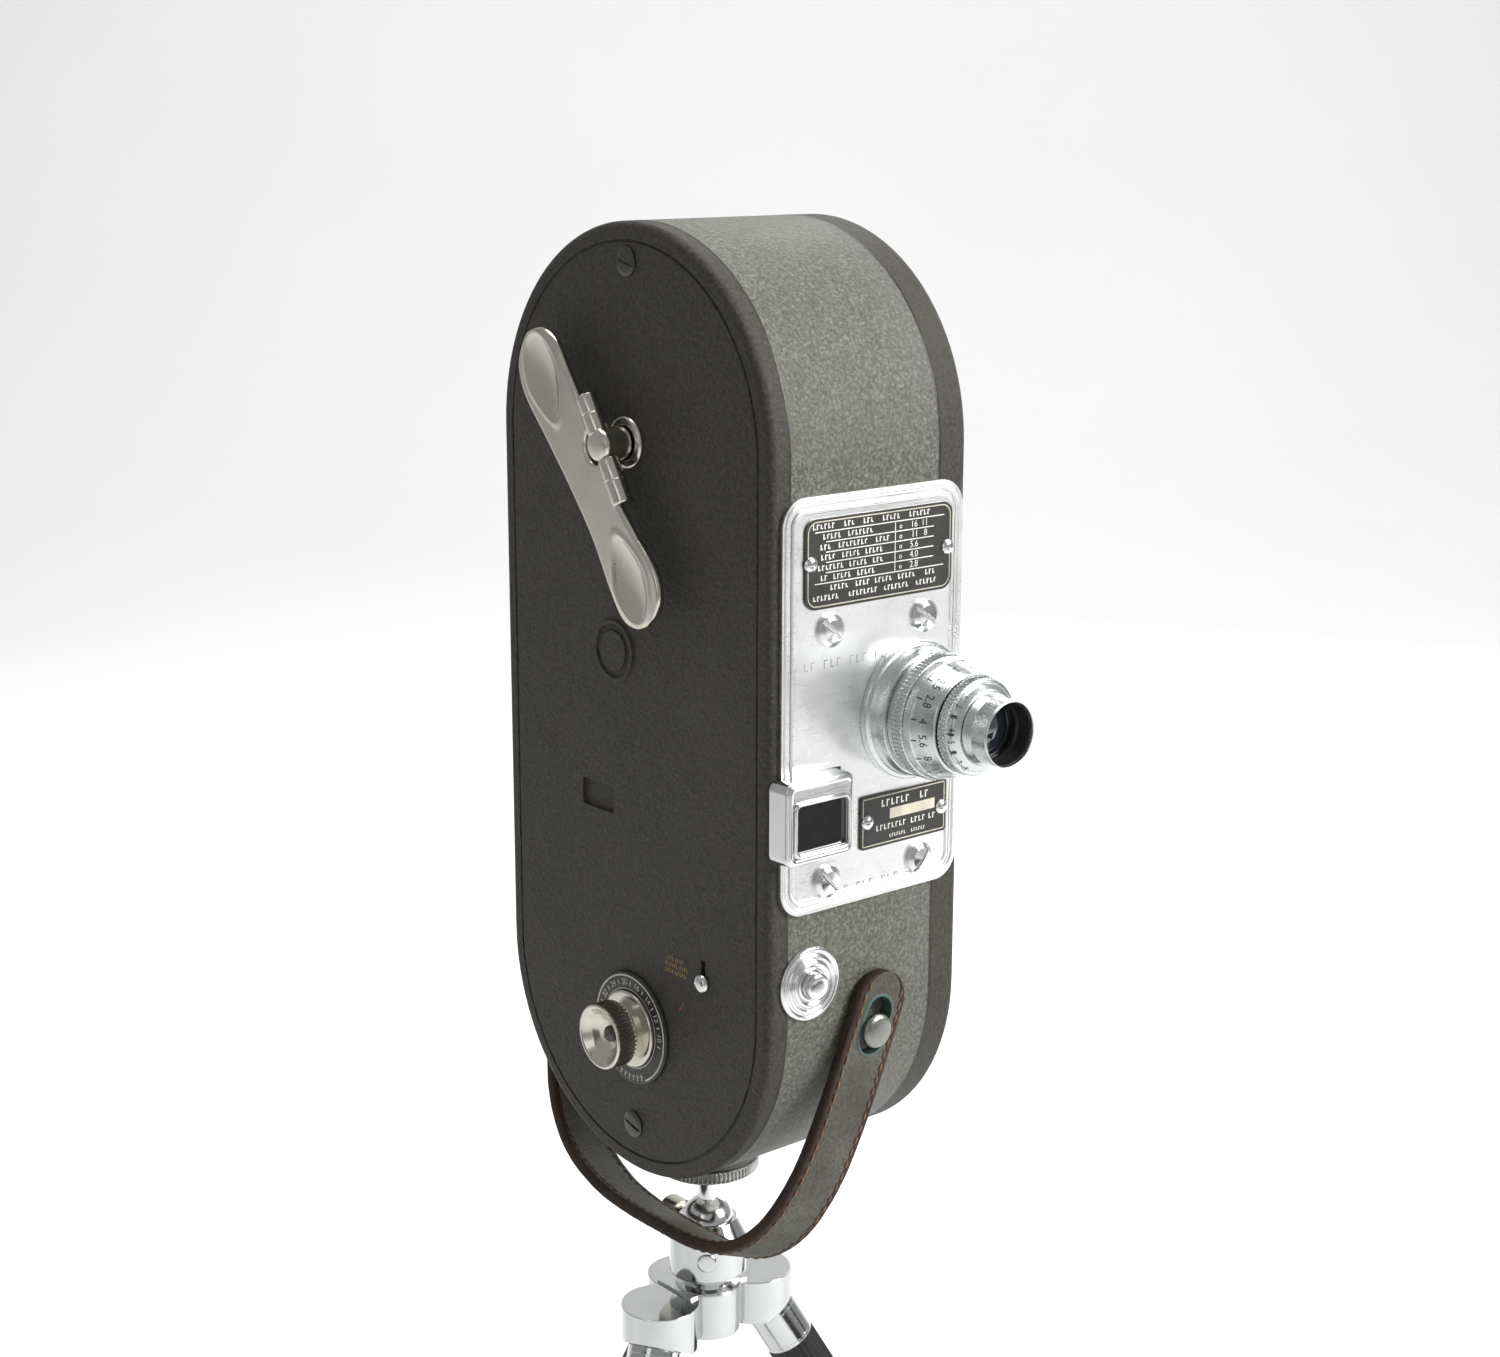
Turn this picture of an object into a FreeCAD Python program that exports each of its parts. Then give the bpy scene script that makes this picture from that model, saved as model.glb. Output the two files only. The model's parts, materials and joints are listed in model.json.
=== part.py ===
"""A spring-wound 16 mm film camera on a small ball-head tripod with telescoping legs.

Row frame: +Z up, -Y is the way the lens looks, +X is the film-door side. The origin is at the
middle of the whole object's footprint, on the surface that the feet stand on. Millimetres.
"""
import FreeCAD, Part
import math
import os
import Sketcher

V = FreeCAD.Vector
Rotation = FreeCAD.Rotation

# ---------------------------------------------------------------- driving dimensions
DIMENSIONS = {
    # camera body: a stadium outline seen from the side
    "body_radius": 50.27,
    "body_half": 64.75,
    "body_width": 59.66,
    "wall": 2.0,
    "edge_round": 2.0,
    "cover_depth": 5.5,
    "door_depth": 8.7,
    "door_gap": 0.4,
    "rim_line_inset": 4.0,
    "rim_line_width": 0.7,
    "rim_line_depth": 0.4,
    "plate_in": 1.0,
    "plate_thick": 2.0,
    # where the camera stands over the tripod
    "camera_x": 6.5,
    "camera_over_hinges": 158.0,
    # chrome front plate and what is fixed on it
    "front_thick": 1.0,
    "front_left": -27.2,
    "front_right": 27.7,
    "front_low": -38.0,
    "front_high": 57.4,
    "front_corner": 6.5,
    "plate_screw_radius": 3.75,
    "label_thick": 0.5,
    # finder
    "finder_left": -29.83,
    "finder_right": -9.4,
    "finder_low": -24.4,
    "finder_high": -4.8,
    "finder_front": 6.0,
    "window_left": -27.0,
    "window_right": -12.0,
    "window_low": -21.3,
    "window_high": -10.3,
    "window_recess": 1.5,
    "eyepiece_radius": 6.5,
    # lens
    "lens_x": 12.5,
    "lens_z": 5.05,
    "fit_gap": 0.05,
    "lens_tube": 10.4,
    "lens_spigot": 7.1,
    "front_tube": 8.0,
    "hood_radius": 7.75,
    # release button
    "release_x": -17.7,
    "release_z": -55.1,
    "release_radius": 3.2,
    "release_sleeve": 4.6,
    "release_depth": 13.0,
    # winding side
    "hub_z": 65.0,
    "hub_radius": 4.0,
    "dial_z": -77.8,
    "dial_radius": 14.1,
    "knob_skirt": 9.5,
    "knob_radius": 8.1,
    "knob_out": 10.5,
    "lock_y": -26.9,
    "lock_low": -60.5,
    "lock_high": -53.3,
    "lock_button": 2.3,
    "boss_y": 6.0,
    "boss_z": 15.0,
    "boss_radius": 7.4,
    "cover_screw_high": 106.0,
    "cover_screw_low": -103.0,
    "cover_screw_radius": 3.4,
    "key_hinge_out": 7.2,
    "key_knuckle": 2.5,
    "key_pin": 0.9,
    "key_thick": 2.2,
    # film path and drive
    "spool_radius": 46.0,
    "spool_width": 17.0,
    "spool_core": 16.0,
    "spindle_radius": 3.9,
    "spool_z": 65.0,
    "drum_radius": 24.0,
    "gear_module": 1.0,
    "barrel_teeth": 56,
    "idler_teeth": 25,
    "sprocket_teeth": 24,
    "gear_width": 3.0,
    "shutter_x": -1.5,
    "shutter_z": 12.0,
    "shutter_radius": 22.0,
    # strap
    "strap_stud_z": -69.8,
    "strap_wide": 15.5,
    "strap_thick": 2.8,
    "strap_slot_wide": 7.6,
    "strap_lean": 22.5,
    "strap_drop": 63.5,
    "strap_low_at": -10.5,
    "strap_front_power": 3.4,
    "strap_back_power": 2.85,
    "strap_reach": 52.1,
    # ball head
    "bush_radius": 12.5,
    "bush_low": -117.0,
    "nut_radius": 13.0,
    "nut_low": -120.6,
    "neck_radius": 2.4,
    "stud_thread": 3.1,
    "ball_radius": 6.6,
    "ball_z": -135.4,
    "collar_low": -148.4,
    "column_radius": 9.8,
    "neck_low": 5.2,
    # crown
    "crown_high": -153.5,
    "crown_low": -165.0,
    "lobe_at": 15.5,
    "rear_lobe_at": 9.0,
    "lobe_radius": 9.8,
    "waist_half": 4.5,
    "centre_half": 9.2,
    "centre_step": 0.6,
    # legs
    "leg_spread": 30.0,
    "leg_reach": 222.5,
    "lug_radius": 3.8,
    "lug_thick": 5.0,
    "hinge_pin": 1.6,
    "stop_at": 7.2,
    "ferrule_start": 7.4,
    "ferrule_end": 18.7,
    "ferrule_radius": 6.7,
    "upper_radius": 6.75,
    "upper_end": 196.0,
    "upper_bore": 5.35,
    "lower_radius": 5.3,
    "lower_start": 30.0,
    "foot_start": 204.0,
    "foot_radius": 6.5,
}

doc = FreeCAD.newDocument("film_camera_on_tripod")
sheet = doc.addObject("Spreadsheet::Sheet", "Dimensions")


class Size:
    """A number together with the spreadsheet formula that gives it."""

    def __init__(self, number, formula=None):
        self.number = float(number)
        self.formula = formula or f"{float(number):.6g}"

    def __float__(self):
        return self.number

    def __add__(self, other):
        return Size(self.number + float(other), f"({self.formula} + {size(other).formula})")

    def __sub__(self, other):
        return Size(self.number - float(other), f"({self.formula} - {size(other).formula})")

    def __rsub__(self, other):
        return size(other) - self

    def __mul__(self, other):
        return Size(self.number * float(other), f"({self.formula} * {size(other).formula})")

    def __truediv__(self, other):
        return Size(self.number / float(other), f"({self.formula} / {size(other).formula})")

    def __neg__(self):
        return Size(0) - self

    __radd__ = __add__
    __rmul__ = __mul__


def size(value):
    """A plain number as a Size."""
    return value if isinstance(value, Size) else Size(value)


class Sheet:
    """The spreadsheet's cells as named Sizes."""

    def __init__(self):
        self.rows = 0

    def cell(self, alias, number):
        """Write one dimension into the next row and name it."""
        self.rows += 1
        sheet.set(f"A{self.rows}", alias)
        sheet.set(f"B{self.rows}", f"{number:.6g}")
        sheet.setAlias(f"B{self.rows}", alias)
        setattr(self, alias, Size(number, f"Dimensions.{alias}"))


d = Sheet()
for alias_name, amount in DIMENSIONS.items():
    d.cell(alias_name, amount)

# Heights and the footprint's middle follow from the legs.
SPREAD = math.radians(float(d.leg_spread))
LENS_REACH = 82.77
leg_drop = float(d.leg_reach) * math.cos(SPREAD)
leg_out = float(d.leg_reach) * math.sin(SPREAD)
d.cell("hinge_z", leg_drop + float(d.foot_radius))
d.cell("camera_z", float(d.hinge_z + d.camera_over_hinges))
back_reach = float(d.rear_lobe_at + d.foot_radius) + leg_out
d.cell("tripod_y", (LENS_REACH - back_reach) / 2)
doc.recompute()

# ---------------------------------------------------------------- ways a piece can face
UP = Rotation()
FRONT = Rotation(V(1, 0, 0), 90)          # local Z looks to -Y, local Y is up
BACK = Rotation(V(1, 0, 0), -90)          # local Z looks to +Y
WINDING = Rotation(V(0, 1, 0), -90)       # local Z looks to -X, local X is up, local Y is back
DOOR = Rotation(V(0, 1, 0), 90)           # local Z looks to +X, local X is down


def bind(thing, prop, value):
    """Tie a property to the sheet."""
    thing.setExpression(prop, size(value).formula)


def place(thing, x, y, z, turn=UP):
    """Put a piece at a point of the row frame, turned from its own axes."""
    thing.Placement = FreeCAD.Placement(V(float(x), float(y), float(z)), turn)
    bind(thing, "Placement.Base.x", x)
    bind(thing, "Placement.Base.y", y)
    bind(thing, "Placement.Base.z", z)
    return thing


def on_camera(thing, x, y, z, turn=UP):
    """Put a piece at a point measured from the middle of the camera body."""
    return place(thing, d.camera_x + x, d.tripod_y + y, d.camera_z + z, turn)


FRONT_FACE = -d.body_radius
SIDE_FACE = -(d.body_width / 2)
DOOR_FACE = d.body_width / 2

# ---------------------------------------------------------------- sketch helpers


def new_sketch(body, name, role="XY_Plane", lift=0):
    """A sketch on one of the body's own origin planes, lifted along its normal."""
    sketch = body.newObject("Sketcher::SketchObject", name)
    plane = next(item for item in body.Origin.OriginFeatures if item.Role == role)
    sketch.AttachmentSupport = [(plane, "")]
    sketch.MapMode = "FlatFace"
    bind(sketch, "AttachmentOffset.Base.z", lift)
    return sketch


def constrain(sketch, rules):
    """Add constraints and tie the ones that carry a size to the sheet."""
    first = sketch.ConstraintCount
    sketch.addConstraint([rule for rule, value in rules])
    for number, (rule, value) in enumerate(rules):
        if value is not None:
            sketch.setExpression(f"Constraints[{first + number}]", size(value).formula)


def corner_rules(geometry, end, x, y):
    """Rules that hold one point of a sketch at (x, y)."""
    rules = []
    for kind, axis, value in (("DistanceX", -2, x), ("DistanceY", -1, y)):
        if abs(float(value)) < 1e-9:
            rules.append((Sketcher.Constraint("PointOnObject", geometry, end, axis), None))
        else:
            rule = Sketcher.Constraint(kind, -1, 1, geometry, end, float(value))
            rules.append((rule, value))
    return rules


def polygon(sketch, corners):
    """A closed outline of straight lines through (x, y) sizes."""
    first = sketch.GeometryCount
    spots = [V(float(x), float(y), 0) for x, y in corners]
    count = len(spots)
    lines = [Part.LineSegment(spots[i], spots[(i + 1) % count]) for i in range(count)]
    sketch.addGeometry(lines, False)
    rules = []
    for i, (x, y) in enumerate(corners):
        rules += corner_rules(first + i, 1, x, y)
        following = first + (i + 1) % count
        rules.append((Sketcher.Constraint("Coincident", first + i, 2, following, 1), None))
    constrain(sketch, rules)


def circle(sketch, x, y, radius):
    """A circle held at (x, y)."""
    first = sketch.GeometryCount
    sketch.addGeometry([Part.Circle(V(float(x), float(y), 0), V(0, 0, 1), float(radius))], False)
    rules = corner_rules(first, 3, x, y)
    rules.append((Sketcher.Constraint("Radius", first, float(radius)), radius))
    constrain(sketch, rules)


def rounded(sketch, left, right, low, high, radius):
    """A rectangle with four equal round corners."""
    first = sketch.GeometryCount
    x0, x1, y0, y1, r = (float(v) for v in (left, right, low, high, radius))
    up = V(0, 0, 1)
    lines = [
        Part.LineSegment(V(x0 + r, y0, 0), V(x1 - r, y0, 0)),
        Part.LineSegment(V(x1, y0 + r, 0), V(x1, y1 - r, 0)),
        Part.LineSegment(V(x1 - r, y1, 0), V(x0 + r, y1, 0)),
        Part.LineSegment(V(x0, y1 - r, 0), V(x0, y0 + r, 0)),
    ]
    centres = [(x1 - r, y0 + r, -90), (x1 - r, y1 - r, 0), (x0 + r, y1 - r, 90), (x0 + r, y0 + r, 180)]
    arcs = []
    for x, y, start in centres:
        whole = Part.Circle(V(x, y, 0), up, r)
        arcs.append(Part.ArcOfCircle(whole, math.radians(start), math.radians(start + 90)))
    sketch.addGeometry(lines + arcs, False)
    rules = []
    for i in range(4):
        line, arc, following = first + i, first + 4 + i, first + (i + 1) % 4
        rules.append((Sketcher.Constraint("Tangent", line, 2, arc, 1), None))
        rules.append((Sketcher.Constraint("Tangent", arc, 2, following, 1), None))
        kind = "Horizontal" if i % 2 == 0 else "Vertical"
        rules.append((Sketcher.Constraint(kind, line), None))
    for arc in range(first + 5, first + 8):
        rules.append((Sketcher.Constraint("Equal", first + 4, arc), None))
    rules.append((Sketcher.Constraint("Radius", first + 4, r), radius))
    for kind, line, value in (("DistanceY", 0, low), ("DistanceX", 1, right),
                              ("DistanceY", 2, high), ("DistanceX", 3, left)):
        rules.append((Sketcher.Constraint(kind, -1, 1, first + line, 1, float(value)), value))
    constrain(sketch, rules)


def stadium(sketch, radius, half):
    """Two round ends on the X axis, joined by straight sides."""
    first = sketch.GeometryCount
    r, c = float(radius), float(half)
    up = V(0, 0, 1)
    right = Part.ArcOfCircle(Part.Circle(V(c, 0, 0), up, r), -math.pi / 2, math.pi / 2)
    left = Part.ArcOfCircle(Part.Circle(V(-c, 0, 0), up, r), math.pi / 2, 3 * math.pi / 2)
    top = Part.LineSegment(V(c, r, 0), V(-c, r, 0))
    bottom = Part.LineSegment(V(-c, -r, 0), V(c, -r, 0))
    sketch.addGeometry([right, top, left, bottom], False)
    rules = []
    for i in range(4):
        following = first + (i + 1) % 4
        rules.append((Sketcher.Constraint("Tangent", first + i, 2, following, 1), None))
    rules += corner_rules(first, 3, half, 0)
    rules += corner_rules(first + 2, 3, -size(half), 0)
    rules.append((Sketcher.Constraint("Radius", first, r), radius))
    constrain(sketch, rules)


# ---------------------------------------------------------------- solid helpers


def new_body(name):
    return doc.addObject("PartDesign::Body", name)


def pad(body, sketch, length):
    """Grow a sketch along its normal."""
    grown = body.newObject("PartDesign::Pad", sketch.Name + "_pad")
    grown.Profile = sketch
    bind(grown, "Length", length)
    body.Tip = grown
    return grown


def pocket(body, sketch, depth):
    """Cut a sketch into the body, against the sketch's normal."""
    doc.recompute()
    cut = body.newObject("PartDesign::Pocket", sketch.Name + "_pocket")
    cut.Profile = sketch
    bind(cut, "Length", depth)
    body.Tip = cut
    return cut


def soften(body, height, radius):
    """Round the edges of the flat face at a height along the body's Z."""
    doc.recompute()
    base = body.Tip
    names = []
    for number, face in enumerate(base.Shape.Faces, start=1):
        middle = face.CenterOfMass
        if abs(middle.z - float(height)) < 1e-4 and abs(face.normalAt(0, 0).z) > 0.999:
            names.append(f"Face{number}")
    fillet = body.newObject("PartDesign::Fillet", body.Name + "_soft")
    fillet.Base = (base, names)
    bind(fillet, "Radius", radius)
    body.Tip = fillet
    return fillet


def turned(name, outline):
    """A piece turned about its own Z from a closed (radius, height) outline."""
    body = new_body(name)
    sketch = new_sketch(body, name + "_profile", "XZ_Plane")
    polygon(sketch, outline)
    spin = body.newObject("PartDesign::Revolution", name + "_turned")
    spin.Profile = sketch
    spin.ReferenceAxis = (sketch, ["V_Axis"])
    spin.Angle = 360
    body.Tip = spin
    return body


def ring(name, inner, outer, low, high):
    """A plain turned sleeve."""
    return turned(name, [(inner, low), (outer, low), (outer, high), (inner, high)])


def cylinder(name, radius, height):
    """A Part cylinder that rises from its own origin."""
    solid = doc.addObject("Part::Cylinder", name)
    bind(solid, "Radius", radius)
    bind(solid, "Height", height)
    return solid


def box(name, length, width, height):
    """A Part box with its low corner at its own origin."""
    solid = doc.addObject("Part::Box", name)
    bind(solid, "Length", length)
    bind(solid, "Width", width)
    bind(solid, "Height", height)
    return solid


def fuse(name, pieces):
    joined = doc.addObject("Part::MultiFuse", name)
    joined.Shapes = pieces
    joined.Refine = True
    return joined


def cut(name, base, tools):
    """Take every tool away from the base."""
    removed = doc.addObject("Part::Cut", name)
    removed.Base = base
    removed.Tool = tools[0] if len(tools) == 1 else fuse(name + "_tools", tools)
    return removed


def common(name, first, second):
    shared = doc.addObject("Part::MultiCommon", name)
    shared.Shapes = [first, second]
    return shared


def group(name, pieces):
    """Identical fasteners as one node of separate solids."""
    together = doc.addObject("Part::Compound", name)
    together.Links = pieces
    return together


NODES = []


def node(thing, name):
    """Make a finished piece a node: its label names its file."""
    thing.Label = name
    NODES.append(thing)
    return thing


def screw(name, head, rise, shank, length, slot_turn=0):
    """A domed screw with a slot, its head's seat at its own origin."""
    solid = turned(name + "_blank", [(0, -length), (shank, -length), (shank, 0), (head, 0),
                                     (head, rise * 0.45), (head * 0.72, rise * 0.85), (0, rise)])
    slot = box(name + "_slot", head * 2.4, head * 0.22, rise)
    slot.Placement = FreeCAD.Placement(V(0, 0, 0), Rotation(V(0, 0, 1), slot_turn)).multiply(
        FreeCAD.Placement(V(float(head) * -1.2, float(head) * -0.11, float(rise) * 0.5), UP))
    return cut(name, solid, [slot])


def hole(name, radius, depth, x, y, z, turn):
    """A drill that starts at a point of the camera and runs along the turned Z."""
    return on_camera(cylinder(name, radius, depth), x, y, z, turn)


def block(name, left, right, near, far, low, high):
    """A box between camera-frame limits, for slots and straight parts."""
    solid = box(name, size(right) - left, size(far) - near, size(high) - low)
    return on_camera(solid, left, near, low)


# ---------------------------------------------------------------- camera casing
INNER = d.body_radius - d.wall


def body_band():
    """The wall that wraps round the edge, with every hole that passes through it."""
    body = new_body("band_blank")
    outline = new_sketch(body, "band_outline")
    stadium(outline, d.body_radius, d.body_half)
    stadium(outline, INNER, d.body_half)
    pad(body, outline, d.body_width - d.cover_depth - d.door_depth - d.door_gap)
    on_camera(body, DOOR_FACE - d.door_depth - d.door_gap, 0, 0, WINDING)
    front = FRONT_FACE - 1
    holes = [
        hole("band_lens_hole", d.lens_spigot, 4, d.lens_x, FRONT_FACE + 3, d.lens_z, FRONT),
        block("band_finder_hole", -23.9, -12.7, front, INNER + 4, -20.6, -10.9),
        hole("band_release_hole", d.release_sleeve, 4, d.release_x, FRONT_FACE + 3, d.release_z, FRONT),
        hole("band_bush_hole", 7, 9, -d.camera_x, 0, -118, UP),
        hole("band_strap_holes", 2.4, 120, 0, -60, d.strap_stud_z, BACK),
    ]
    for x, z in PLATE_SCREWS:
        holes.append(hole("band_screw_hole", 1.5, 4, x, FRONT_FACE + 2.5, z, FRONT))
    return cut("body_band_solid", body, holes)


def shell(name, depth):
    """A stadium lid with a rounded outer edge and a thin line round its face."""
    body = new_body(name)
    outline = new_sketch(body, name + "_outline")
    stadium(outline, d.body_radius, d.body_half)
    pad(body, outline, depth)
    soften(body, depth, d.edge_round)
    line = new_sketch(body, name + "_line", lift=depth)
    stadium(line, d.body_radius - d.rim_line_inset, d.body_half)
    stadium(line, d.body_radius - d.rim_line_inset - d.rim_line_width, d.body_half)
    pocket(body, line, d.rim_line_depth)
    return body


def hollow(body, name, depth):
    """Cut the lid's inside out, up to its wall."""
    inside = new_sketch(body, name + "_inside")
    stadium(inside, INNER, d.body_half)
    scoop = pocket(body, inside, depth)
    scoop.Reversed = True
    return body


def winding_side_cover():
    """The lid on the winding side. Its sketches have X up and Y to the back."""
    body = shell("winding_lid", d.cover_depth)
    hollow(body, "winding_lid", d.cover_depth - d.wall)
    recess = new_sketch(body, "winding_recess", lift=d.cover_depth)
    rounded(recess, -25.4, -18.6, 6.8, 19.2, 0.8)
    pocket(body, recess, 0.9)
    boss = new_sketch(body, "winding_boss", lift=d.cover_depth)
    circle(boss, d.boss_z, d.boss_y, d.boss_radius)
    circle(boss, d.boss_z, d.boss_y, d.boss_radius - 0.9)
    circle(boss, d.boss_z, d.boss_y, d.boss_radius - 2.6)
    pad(body, boss, 0.5)
    on_camera(body, SIDE_FACE + d.cover_depth, 0, 0, WINDING)
    inside = SIDE_FACE + 4
    holes = [
        hole("cover_hub_hole", 5, 6, inside, 0, d.hub_z, WINDING),
        hole("cover_dial_hole", 2.5, 6, inside, 0, d.dial_z, WINDING),
        block("cover_lock_slot", SIDE_FACE - 1, inside, d.lock_y - 0.8, d.lock_y + 0.8,
              d.lock_low, d.lock_high),
        hole("cover_screw_hole_high", 1.4, 6, inside, 0, d.cover_screw_high, WINDING),
        hole("cover_screw_hole_low", 1.4, 6, inside, 0, d.cover_screw_low, WINDING),
    ]
    return cut("winding_side_cover_solid", body, holes)


def film_door():
    """The lift-off lid on the film side, with a lip that slips into the band."""
    body = shell("door_lid", d.door_depth)
    hollow(body, "door_lid", d.door_depth - d.wall)
    lip = new_sketch(body, "door_lip")
    lip_out = INNER - 0.08
    stadium(lip, lip_out, d.body_half)
    stadium(lip, lip_out - 1.2, d.body_half)
    grown = pad(body, lip, d.door_gap + 6)
    grown.Midplane = True
    on_camera(body, DOOR_FACE - d.door_depth, 0, 0, DOOR)
    return cut("film_door_solid", body, [hole("door_latch_hole", 3.05, 8, DOOR_FACE - 6, 0, 0, DOOR)])


def door_latch():
    """The round latch that locks the film door, with a raised grip bar."""
    base = turned("latch_disc", [(0, -3.4), (7, -3.4), (7, -2.2), (3, -2.2), (3, 0.1), (13, 0.1),
                                 (13, 1.2), (12, 2.0), (0, 2.0)])
    grip = box("latch_grip", 21, 3.4, 3.4)
    grip.Placement = FreeCAD.Placement(V(-10.5, -1.7, 1.6), UP)
    return on_camera(fuse("latch_solid", [base, grip]), DOOR_FACE, 0, 0, DOOR)


def mechanism_plate():
    """The plate that parts the film chamber from the works, with both spool spindles."""
    body = new_body("works_plate")
    outline = new_sketch(body, "works_outline")
    stadium(outline, INNER - d.fit_gap, d.body_half)
    circle(outline, 0, 0, 2.1)
    pad(body, outline, d.plate_thick)
    on_camera(body, d.plate_in, 0, 0, DOOR)
    notched = cut("works_plate_notched", body, [
        block("works_shutter_notch", 0, 4, FRONT_FACE, -40.5, d.shutter_z - d.shutter_radius - 0.6,
              d.shutter_z + d.shutter_radius + 0.6),
    ])
    pegs = []
    for z in (d.spool_z, -d.spool_z):
        pegs.append(hole("spool_spindle", d.spindle_radius, 22, d.plate_in + 1, 0, z, DOOR))
    pegs.append(hole("barrel_post", 1.6, 8, d.plate_in + 1, 0, d.hub_z, WINDING))
    pegs.append(hole("idler_post", 1.95, 6, d.plate_in + 1, 0, d.hub_z - IDLER_DROP, WINDING))
    return fuse("mechanism_plate_solid", [notched] + pegs)


def tripod_bush():
    """The threaded bush under the body, saddled to the round bottom."""
    lump = on_camera(cylinder("bush_lump", d.bush_radius, 8), -d.camera_x, 0, d.bush_low)
    round_bottom = hole("bush_saddle", d.body_radius, 60, -30, 0, -d.body_half, DOOR)
    saddle = cut("bush_flange", lump, [round_bottom])
    spigot = on_camera(cylinder("bush_spigot", 7, 9), -d.camera_x, 0, d.bush_low)
    whole = fuse("bush_whole", [saddle, spigot])
    bore = on_camera(cylinder("bush_bore", d.stud_thread + d.fit_gap, 12), -d.camera_x, 0, d.bush_low - 1)
    return cut("tripod_bush_solid", whole, [bore])


# ---------------------------------------------------------------- front plate and its trim
PLATE_FACE = FRONT_FACE - d.front_thick
PLATE_SCREWS = [(-13.3, 27.0), (15.7, 26.6), (-13.6, -31.2), (15.4, -31.4)]
RIVETS = [(-19.5, 42.6), (22.4, 41.9), (-1.5, -19.6), (22.1, -20.1)]


def front_plate():
    """The chrome plate with a raised double line round its edge."""
    body = new_body("plate_blank")
    outline = new_sketch(body, "plate_outline")
    rounded(outline, d.front_left, d.front_right, d.front_low, d.front_high, d.front_corner)
    circle(outline, d.lens_x, d.lens_z, d.lens_spigot)
    pad(body, outline, d.front_thick)
    for inset in (1.0, 2.3):
        groove = new_sketch(body, f"plate_groove_{inset:.0f}", lift=d.front_thick)
        for edge in (inset, inset + 0.6):
            rounded(groove, d.front_left + edge, d.front_right - edge, d.front_low + edge,
                    d.front_high - edge, d.front_corner - edge)
        pocket(body, groove, 0.3)
    on_camera(body, 0, FRONT_FACE, 0, FRONT)
    tools = [block("plate_finder_notch", -32, d.finder_right, PLATE_FACE - 1, FRONT_FACE + 1,
                   d.finder_low, d.finder_high)]
    for x, z in PLATE_SCREWS:
        tools.append(hole("plate_screw_hole", 1.5, 4, x, FRONT_FACE + 1, z, FRONT))
    return cut("front_plate_solid", body, tools)


# How far each plate screw's slot is turned from level, in degrees.
SLOT_TURNS = [-42, -36, -46, 52]


def front_plate_screws():
    screws = []
    for number, (x, z) in enumerate(PLATE_SCREWS):
        one = screw(f"plate_screw_{number}", d.plate_screw_radius, 1.9, 1.5, 3.4, SLOT_TURNS[number])
        screws.append(on_camera(one, x, PLATE_FACE, z, FRONT))
    return group("plate_screw_group", screws)


def label_plate(name, left, right, low, high, corner):
    """A thin plate riveted on the front plate."""
    body = new_body(name)
    outline = new_sketch(body, name + "_outline")
    rounded(outline, left, right, low, high, corner)
    pad(body, outline, d.label_thick)
    return on_camera(body, 0, PLATE_FACE, 0, FRONT)


def plate_rivets():
    rivets = []
    for x, z in RIVETS:
        one = turned("rivet", [(0, 0), (1.8, 0), (1.6, 0.5), (0.9, 0.95), (0, 1.05)])
        rivets.append(on_camera(one, x, PLATE_FACE - d.label_thick, z, FRONT))
    return group("rivet_group", rivets)


# ---------------------------------------------------------------- finder
def finder_housing():
    """The finder's front housing and its straight tube through the camera."""
    body = new_body("finder_front_block")
    outline = new_sketch(body, "finder_outline")
    rounded(outline, d.finder_left, d.finder_right - 0.05, d.finder_low + 0.05, d.finder_high - 0.05, 2.4)
    pad(body, outline, d.finder_front)
    soften(body, d.finder_front, 1.0)
    window = new_sketch(body, "finder_window", lift=d.finder_front)
    rounded(window, d.window_left, d.window_right, d.window_low, d.window_high, 1.0)
    pocket(body, window, d.window_recess)
    on_camera(body, 0, FRONT_FACE, 0, FRONT)
    tube = block("finder_tube", -23.8, -12.8, FRONT_FACE - 1, d.body_radius - 1, -20.5, -11.0)
    bore = block("finder_bore", -22.8, -13.8, FRONT_FACE - 12, d.body_radius + 2, -19.5, -12.0)
    return cut("finder_housing_solid", fuse("finder_whole", [body, tube]), [bore])


def finder_lenses():
    """The front window glass and the eyepiece lens."""
    front = new_body("finder_glass")
    pane = new_sketch(front, "finder_pane")
    rounded(pane, d.window_left + 0.1, d.window_right - 0.1, d.window_low + 0.1, d.window_high - 0.1, 1.0)
    pad(front, pane, 0.8)
    on_camera(front, 0, FRONT_FACE - d.finder_front + d.window_recess, 0, FRONT)
    eye = hole("eye_glass", 4.3, 1.2, FINDER_X, d.body_radius + 1.2, FINDER_Z, BACK)
    return group("finder_glass_group", [front, eye])


FINDER_X = -18.3
FINDER_Z = -15.75


def finder_eyepiece():
    return on_camera(ring("eyepiece_ring", 4.3, d.eyepiece_radius, 0, 4.2), FINDER_X, d.body_radius,
                     FINDER_Z, BACK)


# ---------------------------------------------------------------- lens, heights measured from the band
def on_lens(thing):
    return on_camera(thing, d.lens_x, FRONT_FACE, d.lens_z, FRONT)


def lens_mount():
    """The flange and collar that hold the lens to the camera."""
    return on_lens(turned("mount_turned", [
        (d.lens_tube, 1), (16.2, 1), (16.2, 3), (15.2, 3), (14.5, 7), (d.lens_tube, 7)]))


def focus_ring():
    """The knurled ring that turns to focus, running on the lens tube."""
    bore = d.lens_tube + d.fit_gap
    return on_lens(turned("focus_turned", [
        (bore, 7.1), (13.6, 7.1), (13.6, 9), (14.6, 9), (14.6, 12.3), (14.2, 12.6), (bore, 12.6)]))


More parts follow.
